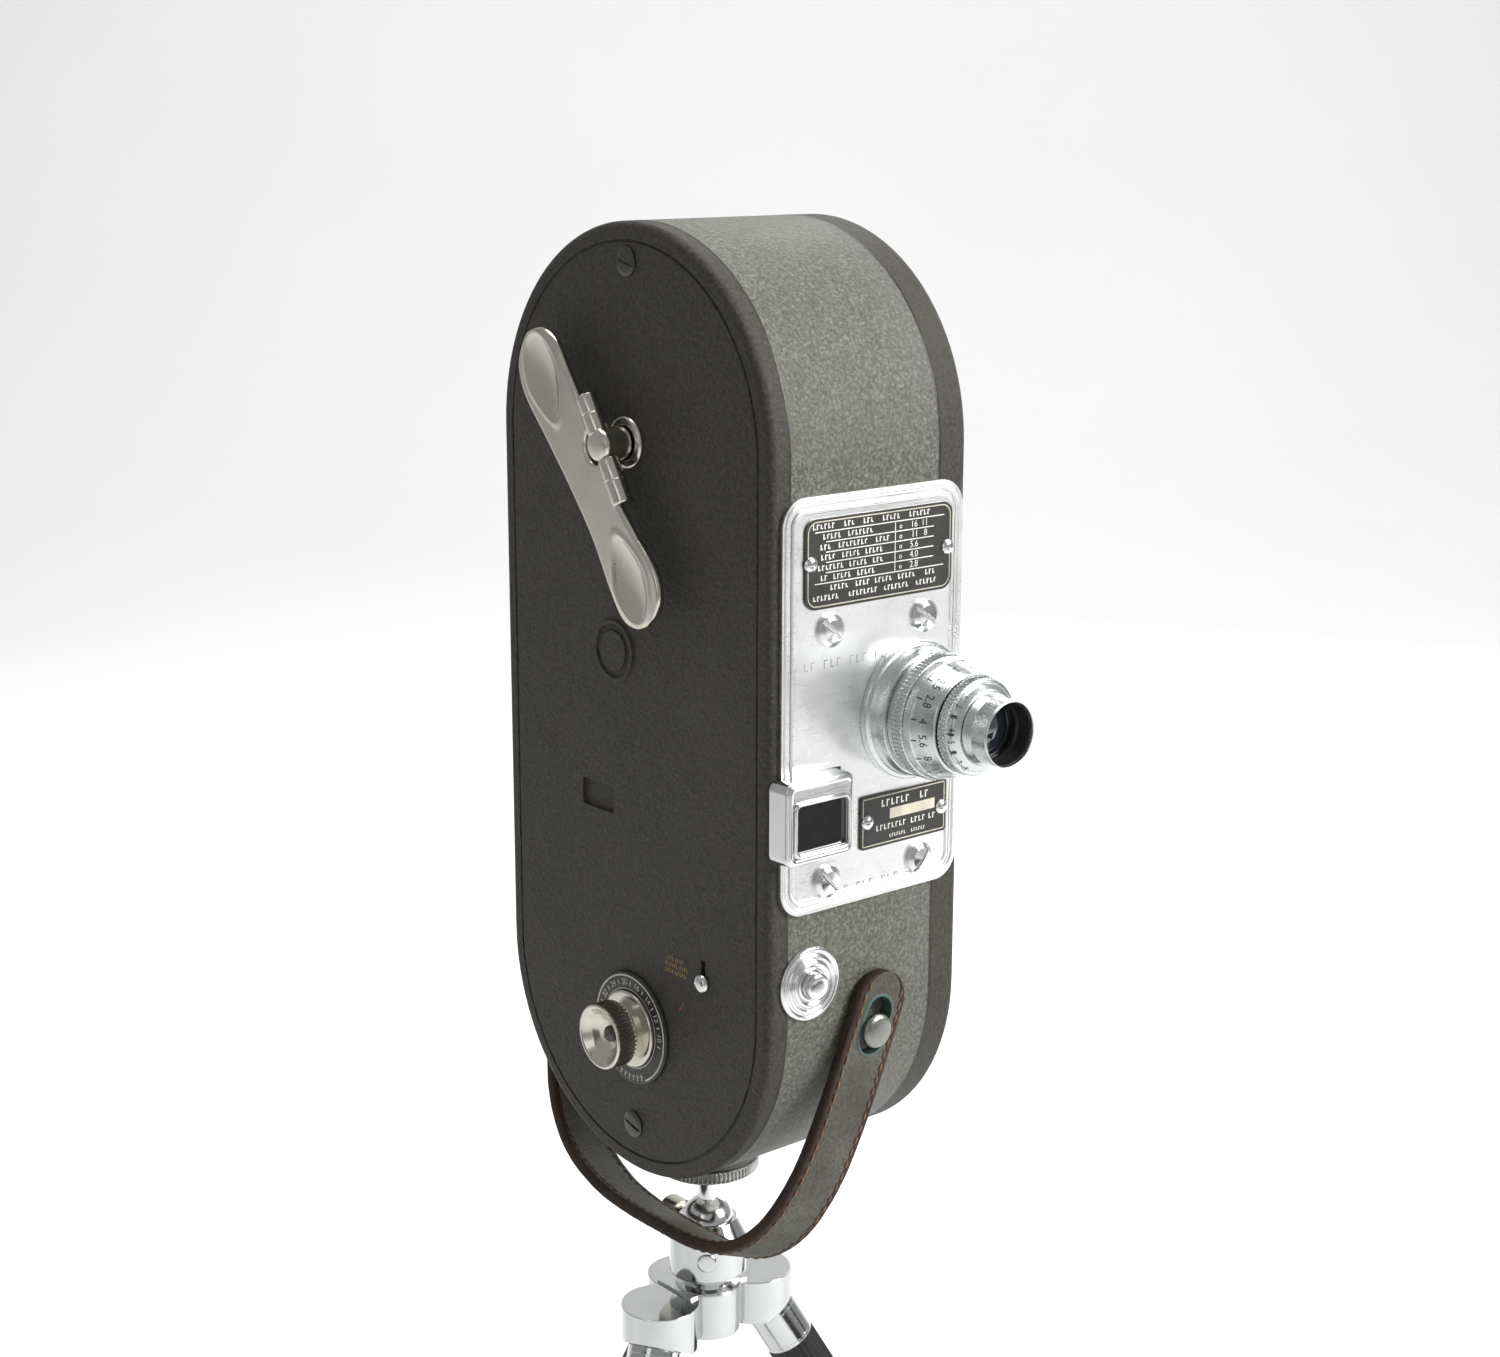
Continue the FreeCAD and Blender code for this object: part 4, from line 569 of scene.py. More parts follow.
def build_lens_marks():
    """Aperture and distance figures on the barrel, and the index on the aperture ring."""
    items = []
    stops = ["2.5", "2.8", "4", "5.6", "8", "11", "16"]
    for number, text in enumerate(stops):
        items.append(("n", text, 128 + number * 21, 17.4, 1.9, 0))
        items.append(("b", 0.28, 128 + number * 21, 15.2, 1.5, 0))
    for number in range(30):
        items.append(("b", 1.05, 122 + number * 5, 14.55, 0.22, 0))
    for number, text in enumerate(["25", "10", "6", "4", "3"]):
        items.append(("n", text, 20 + number * 20, 17.3, 1.8, 0))
        items.append(("b", 0.28, 20 + number * 20, 15.2, 1.4, 0))
    ring_marks("barrel_figures", items, barrel_radius, "camera", "ink")
    ring_marks("aperture_index", [("b", 0.5, 180 + step, 24.2, 0.9, 0) for step in (-24, 0, 24)]
               + [("n", str(step), 110 + 16 * step, 24.15, 1.0, 0) for step in range(1, 9)],
               lambda along: 10.15 - (along - 24.2) * 0.9 + 0.06, "aperture", "ink")


# ---- front plate and what is on it
ON_PLATE = seat(FRONT, Vector((CASE.x, PLATE_Y, CASE.z)))
ON_FACE = seat(FRONT, Vector((CASE.x, FRONT_Y, CASE.z)))
TABLE = (-21.0, 23.9, 32.2, 52.5)
NAME = (-3.5, 23.8, -26.1, -13.4)
LABEL_RISE = 0.5


def lifted(height):
    """A lay for flat marks, this many millimetres above the face."""
    return lambda x, y: Vector((x, y, height))


def build_front_plate():
    """Raised beads, the two black labels with their marks, faint engraving and rivets."""
    for name, inset in (("plate_outer_bead", 0.0), ("plate_inner_bead", 2.1)):
        rect = (-27.2 + inset + 1.1, 27.7 - inset - 1.1, -38.0 + inset + 1.1, 57.4 - inset - 1.1)
        frame_strip(name, rect, 6.5 - inset - 1.1, [(-0.65, -0.2), (-0.65, 0.02), (-0.3, 0.32), (0.3, 0.32),
            (0.65, 0.02), (0.65, -0.2)], ON_PLATE, "camera", "plate")
    for name, rect, corner in (("table_border", TABLE, 3.2), ("name_border", NAME, 0.5)):
        left, right, low, high = rect
        frame_strip(name, (left + 0.7, right - 0.7, low + 0.7, high - 0.7), max(0.3, corner - 0.7),
                    [(-0.14, 0.5), (-0.14, 0.56), (0.14, 0.56), (0.14, 0.5)], ON_PLATE, "camera", "cream")
    top = lifted(LABEL_RISE + 0.05)
    items = []
    rows = [48.3, 46.0, 43.7, 41.4, 39.1]
    for number, z in enumerate([49.5, 47.2, 44.9, 42.6, 40.3, 38.0]):
        items.append(("b", 1.45, z, 39.5 if number in (0, 5) else 33.0, 0.24, 0))
    word_rows = {50.7: [(-16, 7), (-8.4, 4), (-2.6, 3.6), (4.4, 6), (13.2, 7.4)],
                 48.35: [(-13.5, 6), (-5.0, 8)],
                 46.05: [(-15.4, 4), (-7.2, 9.4), (1.8, 5)],
                 43.75: [(-14.6, 4.4), (-7.8, 6), (-0.8, 5.4)],
                 41.45: [(-13.8, 7.6), (-5.6, 5.4), (0.4, 4)],
                 39.15: [(-15.8, 2.6), (-10.4, 5.4), (-3.2, 6)],
                 36.8: [(-11.2, 6), (-4.2, 4.6), (2.2, 5.2), (9.4, 6.2), (16.8, 4)],
                 34.7: [(-15.2, 7.6), (-4.0, 9.6), (6.2, 8.0), (15.6, 6.6)]}
    for z, words in word_rows.items():
        for middle_x, wide in words:
            letters = max(2, round(wide / 1.15))
            for letter in range(letters):
                x = middle_x + (letter + 0.5 - letters / 2) * 1.12
                tall = 1.25 if (letter * 7 + round(z)) % 5 else 0.95
                items += bar_letter(x, z, 0.34, tall, (0.3, 0.45 if letter % 2 else -0.4), (0.5, 0.28))
    for z, text in zip(rows, ["16  11", "11   8", "5.6", "4.0", "2.8"]):
        items.append(("n", text, 13.4 if len(text) > 3 else 11.8, z + 0.02, 1.5, 0))
        items.append(("n", "o", 7.6, z, 1.2, 0))
    items.append(("b", 5.9, 43.7, 0.22, 11.5, 0))
    marks("table_marks", items, top, ON_PLATE, "camera", "white")
    name_items = []
    name_rows = ((-15.9, [(7.0, 9.6), (16.2, 3.8)], 1.7),
                 (-21.6, [(5.8, 10.0), (14.4, 5.0), (18.9, 2.6)], 1.35),
                 (-24.0, [(8.0, 5.6), (14.6, 4.6)], 0.85))
    for z, words, tall in name_rows:
        for middle_x, wide in words:
            letters = max(2, round(wide / (tall * 0.92)))
            for letter in range(letters):
                x = middle_x + (letter + 0.5 - letters / 2) * tall * 0.9
                rise = tall * (0.36 if letter % 2 else -0.36)
                stem = tall * 0.24
                name_items += bar_letter(x, z, stem, tall, (stem, rise), (tall * 0.44, tall * 0.2))
    marks("name_marks", name_items, top, ON_PLATE, "camera", "white")
    marks("number_box", [("b", 12.8, -18.7, 14.4, 2.5, 0)], top, ON_PLATE, "camera", "cream")
    engraved = []
    for z, first, count, tall in ((19.5, -20.6, 13, 2.0), (-34.2, -9.8, 11, 1.6)):
        for letter in range(count):
            x = first + letter * 1.95
            if letter % 4 == 2:
                continue
            rise = tall * 0.4 if letter % 2 else -tall * 0.4
            engraved += bar_letter(x, z, 0.3, tall, (0.5, rise), (0.9, 0.28))
    marks("plate_engraving", engraved, lifted(0.03), ON_PLATE, "camera", "faint")
    for number, (x, z) in enumerate(((-19.5, 42.6), (22.4, 41.9), (-1.5, -19.6), (22.1, -20.1))):
        lathe(f"rivet_head_{number}", [(1.8, 0.4), (1.78, 0.75), (1.5, 1.15), (1.0, 1.42), (0.4, 1.55)],
            ON_PLATE @ Matrix.Translation((x, z, 0)), "camera", "chrome", ["plate_rivets"], steps=40,
            ease=0.1)


def build_finder():
    """The finder's window lip and its outer bead."""
    window = (-27.0, -12.0, -21.3, -10.3)
    frame_strip("finder_window_lip", window, 1.0, [(0.05, 4.6), (0.05, 6.5), (0.45, 6.75), (0.95, 6.5),
        (0.95, 5.9)], ON_FACE, "camera", "chrome")
    frame_strip("finder_outer_bead", (-28.6, -10.6, -23.2, -6.0), 1.6,
        [(-0.75, 5.8), (-0.6, 6.12), (0.0, 6.3), (0.5, 6.1), (0.62, 5.6)], ON_FACE, "camera", "chrome")


# ---- release button
def build_release():
    """The stepped rings round the release button, and the button."""
    on_release = seat(FRONT, RELEASE)
    open_lathe("release_rings", [(3.3, -2.0), (8.9, -0.4), (8.9, 0.5), (8.5, 0.95), (8.0, 1.05), (7.5, 0.8),
        (7.1, 0.85), (6.9, 1.25), (6.4, 1.4), (6.0, 1.1), (5.7, 1.15), (5.5, 1.6), (5.0, 1.8), (4.4, 1.5),
        (4.0, 1.2), (3.7, 1.4), (3.3, 1.3)], on_release, "camera", "chrome", ["release_escutcheon"],
        ease=0.12, sharp=35)
    lathe("release_plunger", [(3.2, 0.9), (3.2, 3.1), (3.05, 3.5), (2.6, 3.78), (1.6, 3.9), (0.5, 3.92)],
          on_release, "release", "chrome", ["release_button"], steps=64, ease=0.15)


# ---- speed dial and knob
def build_dial():
    """The speed dial with its figures, and the knurled knob on it."""
    on_dial = seat(SIDE, DIAL)
    lathe("dial_plate", [(14.1, 0.0), (14.05, 0.75), (13.7, 1.0), (9.0, 1.0), (2.5, 1.0)], on_dial, "camera",
          "black", ["speed_dial"], ease=0.12)
    items = []
    for ring, wide in ((13.2, 0.42), (9.95, 0.2)):
        for number in range(60):
            angle = 6 * number
            if 238 < angle < 300 and ring > 12:
                continue
            length = 2 * math.pi * ring / 60 * 1.03
            items.append(("b", *on_ring(ring, angle), length, wide, angle + 90))
    for number, text in enumerate(["64", "32", "24", "20", "16", "14", "12", "10"]):
        angle = 172 - number * 24
        items.append(("n", text, *on_ring(11.5, angle), 1.55, angle - 90))
    for number in range(9):
        angle = 184 - number * 24
        items.append(("b", *on_ring(11.5, angle), 0.3, 1.3, angle - 90))
    for number in range(7):
        angle = 246 + number * 7.5
        x, y = on_ring(12.4, angle)
        items.append(("b", x, y, 0.3, 1.5, angle + 90))
        items.append(("b", x + 0.3, y + 0.3, 0.8, 0.25, angle + 90))
    marks("dial_marks", items, lifted(1.05), on_dial, "camera", "cream")
    lathe("knob_skirt", [(9.5, 1.15), (9.5, 1.7), (9.1, 2.0), (8.3, 2.05), (7.0, 2.05)], on_dial, "knob",
        "nickel", ["speed_knob"], ease=0.1)
    open_lathe("knob_turned", [(6.6, 2.0), (6.9, 4.2), (7.7, 4.9), (8.1, 5.2, 0.42), (8.1, 9.9, 0.42),
        (7.9, 10.3), (7.5, 10.5), (7.05, 10.3), (5.4, 8.5), (3.6, 7.4), (2.1, 7.0), (1.9, 7.0), (1.9, 2.0)],
        on_dial, "knob", "nickel", teeth=46, ease=0.2)
    lathe("knob_screw", [(2.0, 6.4), (1.95, 7.35), (1.7, 7.6), (1.0, 7.75), (0.3, 7.8)], on_dial, "knob",
        "dark_steel", ease=0.1, steps=40)
    # Painted shade: a flat black bar stands in for the shade inside the screw's slot.
    marks("knob_screw_slot_shade", [("b", 0, 0, 3.2, 0.5, 35)], lifted(7.83), on_dial, "knob", "ink")


# ---- winding key
KEY_EDGE_HIGH = [(33.9, 10.6), (31.5, 15.6), (28.5, 18.4), (22, 19.6), (9, 17.2), (-4, 14.8), (-18, 13),
    (-31, 13), (-38.5, 11.9), (-42.2, 8.2), (-43, 4.5)]
KEY_EDGE_LOW = [(33.9, 10.6), (32.9, 6.2), (30.5, 3.4), (27, 1.9), (20, 1.4), (13, 0.8), (0, 1.0),
    (-15, -0.4), (-24, -2.4), (-33, -4.6), (-39, -3.2), (-42.2, 0.8), (-43, 4.5)]


def smooth_edge(points, u):
    """The edge's v at u, by a cubic through the neighbouring points."""
    pairs = list(reversed(points))
    for number in range(len(pairs) - 1):
        if pairs[number][0] <= u <= pairs[number + 1][0]:
            break
    p1, p2 = pairs[number], pairs[number + 1]
    p0 = pairs[number - 1] if number else p1
    p3 = pairs[number + 2] if number + 2 < len(pairs) else p2
    span = p2[0] - p1[0]
    t = min(1.0, max(0.0, (u - p1[0]) / span))
    m1 = (p2[1] - p0[1]) / max(0.5, p2[0] - p0[0]) * span
    m2 = (p3[1] - p1[1]) / max(0.5, p3[0] - p1[0]) * span
    return ((2 * t ** 3 - 3 * t ** 2 + 1) * p1[1] + (t ** 3 - 2 * t ** 2 + t) * m1
            + (3 * t ** 2 - 2 * t ** 3) * p2[1] + (t ** 3 - t ** 2) * m2)


def hollow_depth(u, v):
    """How far the pressed teardrops sink the face, with a raised bead round each."""
    depth = 0.0
    for at_u, at_v, half_u, half_v, narrow in ((22.0, 10.2, 10.5, 6.0, -1), (-31.0, 4.6, 10.0, 6.0, 1)):
        along = (u - at_u) / half_u
        pinch = 1.0 - 0.38 * max(0.0, along * narrow)
        across = (v - at_v + 0.05 * (u - at_u)) / (half_v * pinch)
        away = math.hypot(along, across)
        depth += 1.25 * max(0.0, 1 - away ** 2.2) if away < 1 else 0.0
        depth -= 0.28 * math.exp(-((away - 1.08) / 0.09) ** 2)
    return depth


def build_key():
    """The pressed blade of the winding key, its knuckles, boss and bush."""
    lean = math.radians(30.5)
    on_key = seat(columns((0, math.sin(lean), math.cos(lean)), (0, math.cos(lean), -math.sin(lean)),
        (-1, 0, 0)), HUB)
    low, high = 7.15, 9.25
    stations, across = 150, 40
    verts, faces = [], []
    notch = 4.5
    middle_u, half_long = -4.55, 38.45
    tip_low, tip_high, tip_gap = -43.0, 33.9, 0.02
    for station in range(stations + 1):
        u = middle_u - half_long * math.cos(math.pi * station / stations)
        u = min(tip_high - tip_gap, max(tip_low + tip_gap, u))
        top, bottom = smooth_edge(KEY_EDGE_HIGH, u), smooth_edge(KEY_EDGE_LOW, u)
        if abs(u) < notch:
            bottom = max(bottom, math.sqrt(notch ** 2 - u ** 2))
        half, centre = max(0.02, (top - bottom) / 2), (top + bottom) / 2
        soft = min(0.9, half * 0.9)
        for number in range(across + 1):
            turn = math.pi * number / across
            v = centre - half * math.cos(turn)
            edge = max(0.0, 1 - (half - abs(v - centre)) / soft)
            end = min(1.0, min(abs(u - tip_low), abs(tip_high - u)) / 0.9)
            edge = max(edge, 1 - end)
            face_z = high - 0.95 * (1 - math.sqrt(max(0.0, 1 - edge ** 2))) - hollow_depth(u, v)
            verts.append(on_key @ Vector((u, v, face_z)))
        for number in range(across - 1, 0, -1):
            v = centre - half * math.cos(math.pi * number / across)
            edge = max(0.0, 1 - (half - abs(v - centre)) / soft)
            verts.append(on_key @ Vector((u, v, low + 0.5 * (1 - math.sqrt(max(0.0, 1 - edge ** 2))))))
    ring = across * 2
    for station in range(stations):
        for number in range(ring):
            a, b = station * ring + number, station * ring + (number + 1) % ring
            faces.append((a, a + ring, b + ring, b))
    faces.append(tuple(range(ring)))
    faces.append(tuple(reversed(range(stations * ring, (stations + 1) * ring))))
    place_shape("key_blade_pressed", verts, faces, "key", "nickel", ["winding_key"], 60)
    along = columns((0, 1, 0), (0, 0, 1), (1, 0, 0)).to_4x4()
    for name, start, end in (("key_knuckle_upper", 2.5, 12.4), ("key_knuckle_lower", -14.9, -3.5)):
        knuckle = on_key @ Matrix.Translation((start, 0, 7.2)) @ along
        length = end - start
        lathe(name, [(1.2, 0.0), (2.1, 0.0), (2.5, 0.35), (2.5, length * 0.5), (2.35, length * 0.52),
            (2.5, length * 0.54), (2.5, length - 0.35), (2.1, length), (1.2, length)], knuckle, "key",
            "nickel", ease=0.15, steps=48)
    lathe("key_boss_head", [(3.9, 2.0), (3.95, 8.2), (3.6, 9.1), (2.6, 9.55), (1.4, 9.72), (0.4, 9.76)],
        on_key, "key_hub", "nickel", ["key_shaft"], ease=0.3, steps=64)
    open_lathe("key_bush_ring", [(4.1, -0.5), (6.1, -0.5), (6.1, 0.9), (5.7, 1.4), (4.9, 1.6), (4.1, 1.5)],
               seat(SIDE, HUB), "camera", "nickel", ["key_escutcheon"], ease=0.2)


# ---- strap
STRAP_LEAN = math.radians(22.5)
STRAP = columns((0, 1, 0), (math.sin(STRAP_LEAN), 0, math.cos(STRAP_LEAN)),
    (math.cos(STRAP_LEAN), 0, -math.sin(STRAP_LEAN)))
STRAP_REACH, STRAP_DROP, STRAP_LOW_AT, STRAP_HALF = 52.1, 63.5, -10.5, 7.75
STUD_DROP = 69.8
FACE_POINTS = 19
WORN_FIRST, WORN_LAST = 5, 12


def strap_line():
    """The strap's middle line: two superellipse quarters that meet at the loop's lowest point."""
    points = [Vector((-STRAP_REACH, 14)), Vector((-STRAP_REACH, 9)), Vector((-STRAP_REACH, 4))]
    steps = 160
    for number in range(steps + 1):
        angle = math.pi * number / steps
        side = -1 if number < steps / 2 else 1
        power = 3.4 if side < 0 else 2.85
        across = abs(math.cos(angle)) ** (2 / power) * (STRAP_REACH - side * STRAP_LOW_AT)
        points.append(Vector((STRAP_LOW_AT + side * across, -(math.sin(angle) ** (2 / power)) * STRAP_DROP)))
    return points + [Vector((STRAP_REACH, 4)), Vector((STRAP_REACH, 9)), Vector((STRAP_REACH, 14))]


def stations(points, places):
    """Points, directions and sides at distances along a polyline."""
    lengths = [0.0]
    for a, b in zip(points, points[1:]):
        lengths.append(lengths[-1] + (b - a).length)
    total = lengths[-1]
    out = []
    index = 0
    for place in places(total):
        while index < len(points) - 2 and lengths[index + 1] < place:
            index += 1
        t = (place - lengths[index]) / max(1e-9, lengths[index + 1] - lengths[index])
        ahead = points[min(index + 3, len(points) - 1)] - points[max(index - 2, 0)]
        ahead.normalize()
        out.append((place, points[index].lerp(points[index + 1], t), Vector((-ahead.y, ahead.x))))
    return out, total


def strap_places(total):
    """Close together at the round ends, even in between."""
    ends = [STRAP_HALF * (1 - math.cos(math.radians(6 * number))) for number in range(1, 15)]
    count = 190
    between = [STRAP_HALF + (total - 2 * STRAP_HALF) * number / count for number in range(count + 1)]
    return ends + between + [total - place for place in reversed(ends)]


def strap_half(place, total):
    """Half the strap's width: full along it, round at both ends."""
    near = min(place, total - place)
    if near >= STRAP_HALF:
        return STRAP_HALF
    return math.sqrt(max(0.3, STRAP_HALF ** 2 - (STRAP_HALF - near) ** 2))


def strap_section(half):
    """(across, out) round the strap's section, with soft edges and a slight groove along the stitches."""
    thick = 1.4
    profile = []
    face = [(-1.0, 0.25), (-0.985, 0.75), (-0.94, 0.96), (-0.86, 1.0), (-0.80, 0.97), (-0.76, 0.90),
        (-0.72, 0.97), (-0.62, 1.0), (-0.3, 1.03), (0.0, 1.05), (0.3, 1.03), (0.62, 1.0), (0.72, 0.97),
        (0.76, 0.90), (0.80, 0.97), (0.86, 1.0), (0.94, 0.96), (0.985, 0.75), (1.0, 0.25)]
    for across, out in face:
        profile.append((across * half, -out * thick))
    for across, out in reversed(face):
        profile.append((across * half, out * thick))
    return profile


def on_strap(spot, side, out, across, origin):
    return origin @ Vector((spot.x + side.x * out, spot.y + side.y * out, across))


def build_strap():
    """The leather strap with its slots, stitches and green-stained slot liners."""
    origin = seat(STRAP, Vector((CASE.x, CASE.y, CASE.z - STUD_DROP * MM)))
    places, total = stations(strap_line(), strap_places)
    verts, indices = [], []
    ring = 2 * FACE_POINTS
    for place, spot, side in places:
        half = strap_half(place, total)
        for across, out in strap_section(half):
            rough = noise.noise(Vector((place * 0.11, across * 0.2, out))) * 0.14
            ripple = noise.noise(Vector((place * 0.5, across * 0.6, 3.0 + out))) * 0.06
            edge = noise.noise(Vector((place * 0.4, 7.0 if across > 0 else 2.0, 0.0))) * 0.10
            verts.append(on_strap(spot, side, out + (rough + ripple) * (1 if abs(out) > 1 else 0.4),
                across * (1 + edge * 0.06), origin))
    faces = grid_faces(len(places), ring)
    for number in range(len(faces)):
        indices.append(1 if WORN_FIRST <= number % FACE_POINTS <= WORN_LAST else 0)
    for start in (0, (len(places) - 1) * ring):
        loop = tuple(range(start, start + ring))
        faces.append(tuple(reversed(loop)) if start == 0 else loop)
        indices.append(0)
    mesh = new_mesh("strap_body", verts, faces, indices)
    mesh.materials.append(MATERIAL["leather"])
    mesh.materials.append(MATERIAL["leather_face"])
    place_mesh("strap_body", cut_slots(mesh, origin), "strap", [], ["hand_strap"], 40)
    build_stitches(origin)
    for end, sign in (("front", -1), ("back", 1)):
        liner_rows = [(0.0, -1.72), (0.0, 1.6), (0.55, 1.6), (0.75, 1.45), (0.75, -1.6), (0.55, -1.72)]
        liner = []
        for shift, out in liner_rows:
            for x, y in rounded_path(-3.8 - shift, 3.8 + shift, -6.0 - shift, 8.0 + shift, 3.7 + shift, 8):
                liner.append(origin @ Vector((sign * (STRAP_REACH + out), y, x)))
        loops = grid_faces(len(liner_rows), len(liner) // len(liner_rows), True)
        place_shape(f"slot_liner_{end}", liner, loops, "strap", "patina")


def cut_slots(mesh, origin):
    """The strap's mesh with a round-ended slot through each end."""
    strap = bpy.data.objects.new("strap_uncut", mesh)
    bpy.context.scene.collection.objects.link(strap)
    cutters = []
    for sign in (-1, 1):
        verts, faces = [], []
        path = rounded_path(-4.5, 4.5, -6.7, 8.7, 4.4, 8)
        for out in (-6.0, 6.0):
            verts += [origin @ Vector((sign * STRAP_REACH + out, y, x)) for x, y in path]
        count = len(path)
        for number in range(count):
            after = (number + 1) % count
            faces.append((number, after, count + after, count + number))
        faces += [tuple(reversed(range(count))), tuple(range(count, 2 * count))]
        cutter_mesh = new_mesh("slot_cutter", verts, faces)
        shape = bmesh.new()
        shape.from_mesh(cutter_mesh)
        bmesh.ops.recalc_face_normals(shape, faces=shape.faces)
        shape.to_mesh(cutter_mesh)
        shape.free()
        cutter = bpy.data.objects.new("slot_cutter", cutter_mesh)
        bpy.context.scene.collection.objects.link(cutter)
        cutters.append(cutter)
        modifier = strap.modifiers.new("slot", "BOOLEAN")
        modifier.object = cutter
        modifier.solver = "EXACT"
    bpy.context.view_layer.update()
    cut = bpy.data.meshes.new_from_object(strap.evaluated_get(bpy.context.evaluated_depsgraph_get()))
    for thing in [strap] + cutters:
        bpy.data.objects.remove(thing)
    return cut


def build_stitches(origin):
    """Waxed thread stitches along both edges, on both faces."""
    pitch, length, wide = 3.0, 2.1, 0.34
    places, total = stations(strap_line(),
        lambda whole: [4.5 + pitch * n for n in range(int((whole - 9) / pitch))])
    verts, faces = [], []
    for number, (place, spot, side) in enumerate(places):
        ahead = Vector((side.y, -side.x))
        half = strap_half(place, total) * 0.76
        for across in (-half, half):
            for face in (-1, 1):
                wander = noise.noise(Vector((number * 0.9, across, face))) * 0.2
                base = len(verts)
                for step in range(7):
                    u = step / 6 - 0.5
                    grow = math.sqrt(max(0.05, 1 - (2 * u) ** 2))
                    for corner in range(6):
                        turn = math.pi * 2 * corner / 6
                        away = 1.30 + grow * 0.28 + math.sin(turn) * wide * 0.5 * grow
                        middle_point = spot + ahead * (u * length)
                        verts.append(on_strap(middle_point, side * face, away,
                            across + wander + math.cos(turn) * wide * grow, origin))
                faces += [tuple(base + index for index in quad) for quad in grid_faces(7, 6)]
    place_shape("strap_stitches", verts, faces, "strap", "thread")


def build_studs():
    """The domed studs that hold the strap at the front and the back."""
    for end, sign in (("front", -1), ("back", 1)):
        turn = FRONT if sign < 0 else columns((-1, 0, 0), (0, 0, 1), (0, 1, 0))
        origin = seat(turn, Vector((CASE.x, CASE.y + sign * 50.27 * MM, CASE.z - STUD_DROP * MM)))
        lathe(f"strap_stud_{end}", [(2.4, -1.0), (2.4, 0.0), (2.2, 0.2), (2.2, 3.6), (4.1, 3.6), (4.2, 3.8),
            (4.2, 4.5), (3.9, 5.0), (3.2, 5.4), (1.8, 5.55), (0.4, 5.6)], origin, "camera", "stud",
            ["strap_studs"], steps=64, ease=0.15)


# ---- seams round the case
CASE_ROUND = 50.25
CASE_HALF_HIGH = 115.0


def build_seams():
    """Dark joint lines where the winding cover and the film door meet the band."""
    for name, low_x, high_x in (("cover_seam", -24.45, -24.05), ("door_seam", 20.65, 21.0)):
        rows = [(low_x, 0.06), (high_x, 0.06), (high_x, -0.3), (low_x, -0.3)]
        verts = []
        for x, out in rows:
            half = CASE_ROUND + out
            high = CASE_HALF_HIGH + out
            for y, z in rounded_path(-half, half, -high, high, half - 0.01, 40):
                verts.append(CASE + Vector((x, y, z)) * MM)
        faces = grid_faces(len(rows), len(verts) // len(rows), True)
        place_shape(name, verts, faces, "camera", "black")


# ---- marks on the winding side
ON_SIDE = seat(SIDE, Vector((SIDE_X, CASE.y, CASE.z)))


def build_side_marks():
    """Gold legend and red pointer on the winding cover, and the run lock stud."""
    items = []
    for row, (z, words) in enumerate(((-56.0, (3, 4)), (-57.6, (6, 4)), (-59.2, (4, 5)))):
        x = 13.4 if row else 14.2
        for letters in words:
            for letter in range(letters):
                rise = 0.38 if (letter + row) % 2 else -0.38
                items += bar_letter(x, z, 0.24, 1.0, (0.22, rise), (0.4, 0.2))
                x += 0.82
            x += 0.5
    flipped = [(kind, x - 0.4, *rest) for kind, x, *rest in items]
    marks("lock_legend", flipped, lifted(0.05), ON_SIDE, "camera", "gold")
    marks("dial_pointer", [("b", 18.6, -67.6, 1.7, 0.42, 48), ("b", 19.5, -66.2, 0.9, 0.3, -30)],
        lifted(0.05), ON_SIDE, "camera", "red")
    low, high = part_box("run_lock_button")
    place = Vector((SIDE_X, (low.y + high.y) / 2, (low.z + high.z) / 2))
    lathe("run_lock_stud", [(2.3, 0.12), (2.3, 0.6), (1.9, 1.25), (1.2, 1.7), (0.3, 1.9)],
        seat(SIDE, place), "run_lock", "chrome", ["run_lock_button"], steps=48, ease=0.2)


# ---- ball head and legs
def build_head():
    """The knurled lock nut and the collar's plug screw."""
    low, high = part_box("lock_nut")
    tall = (high.z - low.z) / MM
    open_lathe("lock_nut_knurled", [(3.2, 0), (12.3, 0), (12.8, 0.45), (13.0, 0.7, 0.5),
        (13.0, tall - 0.7, 0.5), (12.7, tall - 0.4), (12.2, tall), (3.2, tall)],
        seat(UP, Vector((AXIS.x, AXIS.y, low.z))), "nut", "steel", ["lock_nut"], teeth=72, ease=0.12)
    low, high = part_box("socket_collar")
    toward = Vector((-math.sin(math.radians(40.3)), -math.cos(math.radians(40.3)), 0))
    collar_radius = (high.x - low.x) / 2
    plug = seat(columns(Vector((0, 0, 1)).cross(toward), (0, 0, 1), toward),
                Vector((AXIS.x, AXIS.y, low.z + 5.4 * MM)) + toward * (collar_radius - 0.7 * MM))
    lathe("collar_plug", [(2.5, 0.0), (2.5, 0.75), (2.2, 1.0), (1.2, 1.1), (0.3, 1.12)], plug, "collar",
        "tripod", steps=40, ease=0.12)


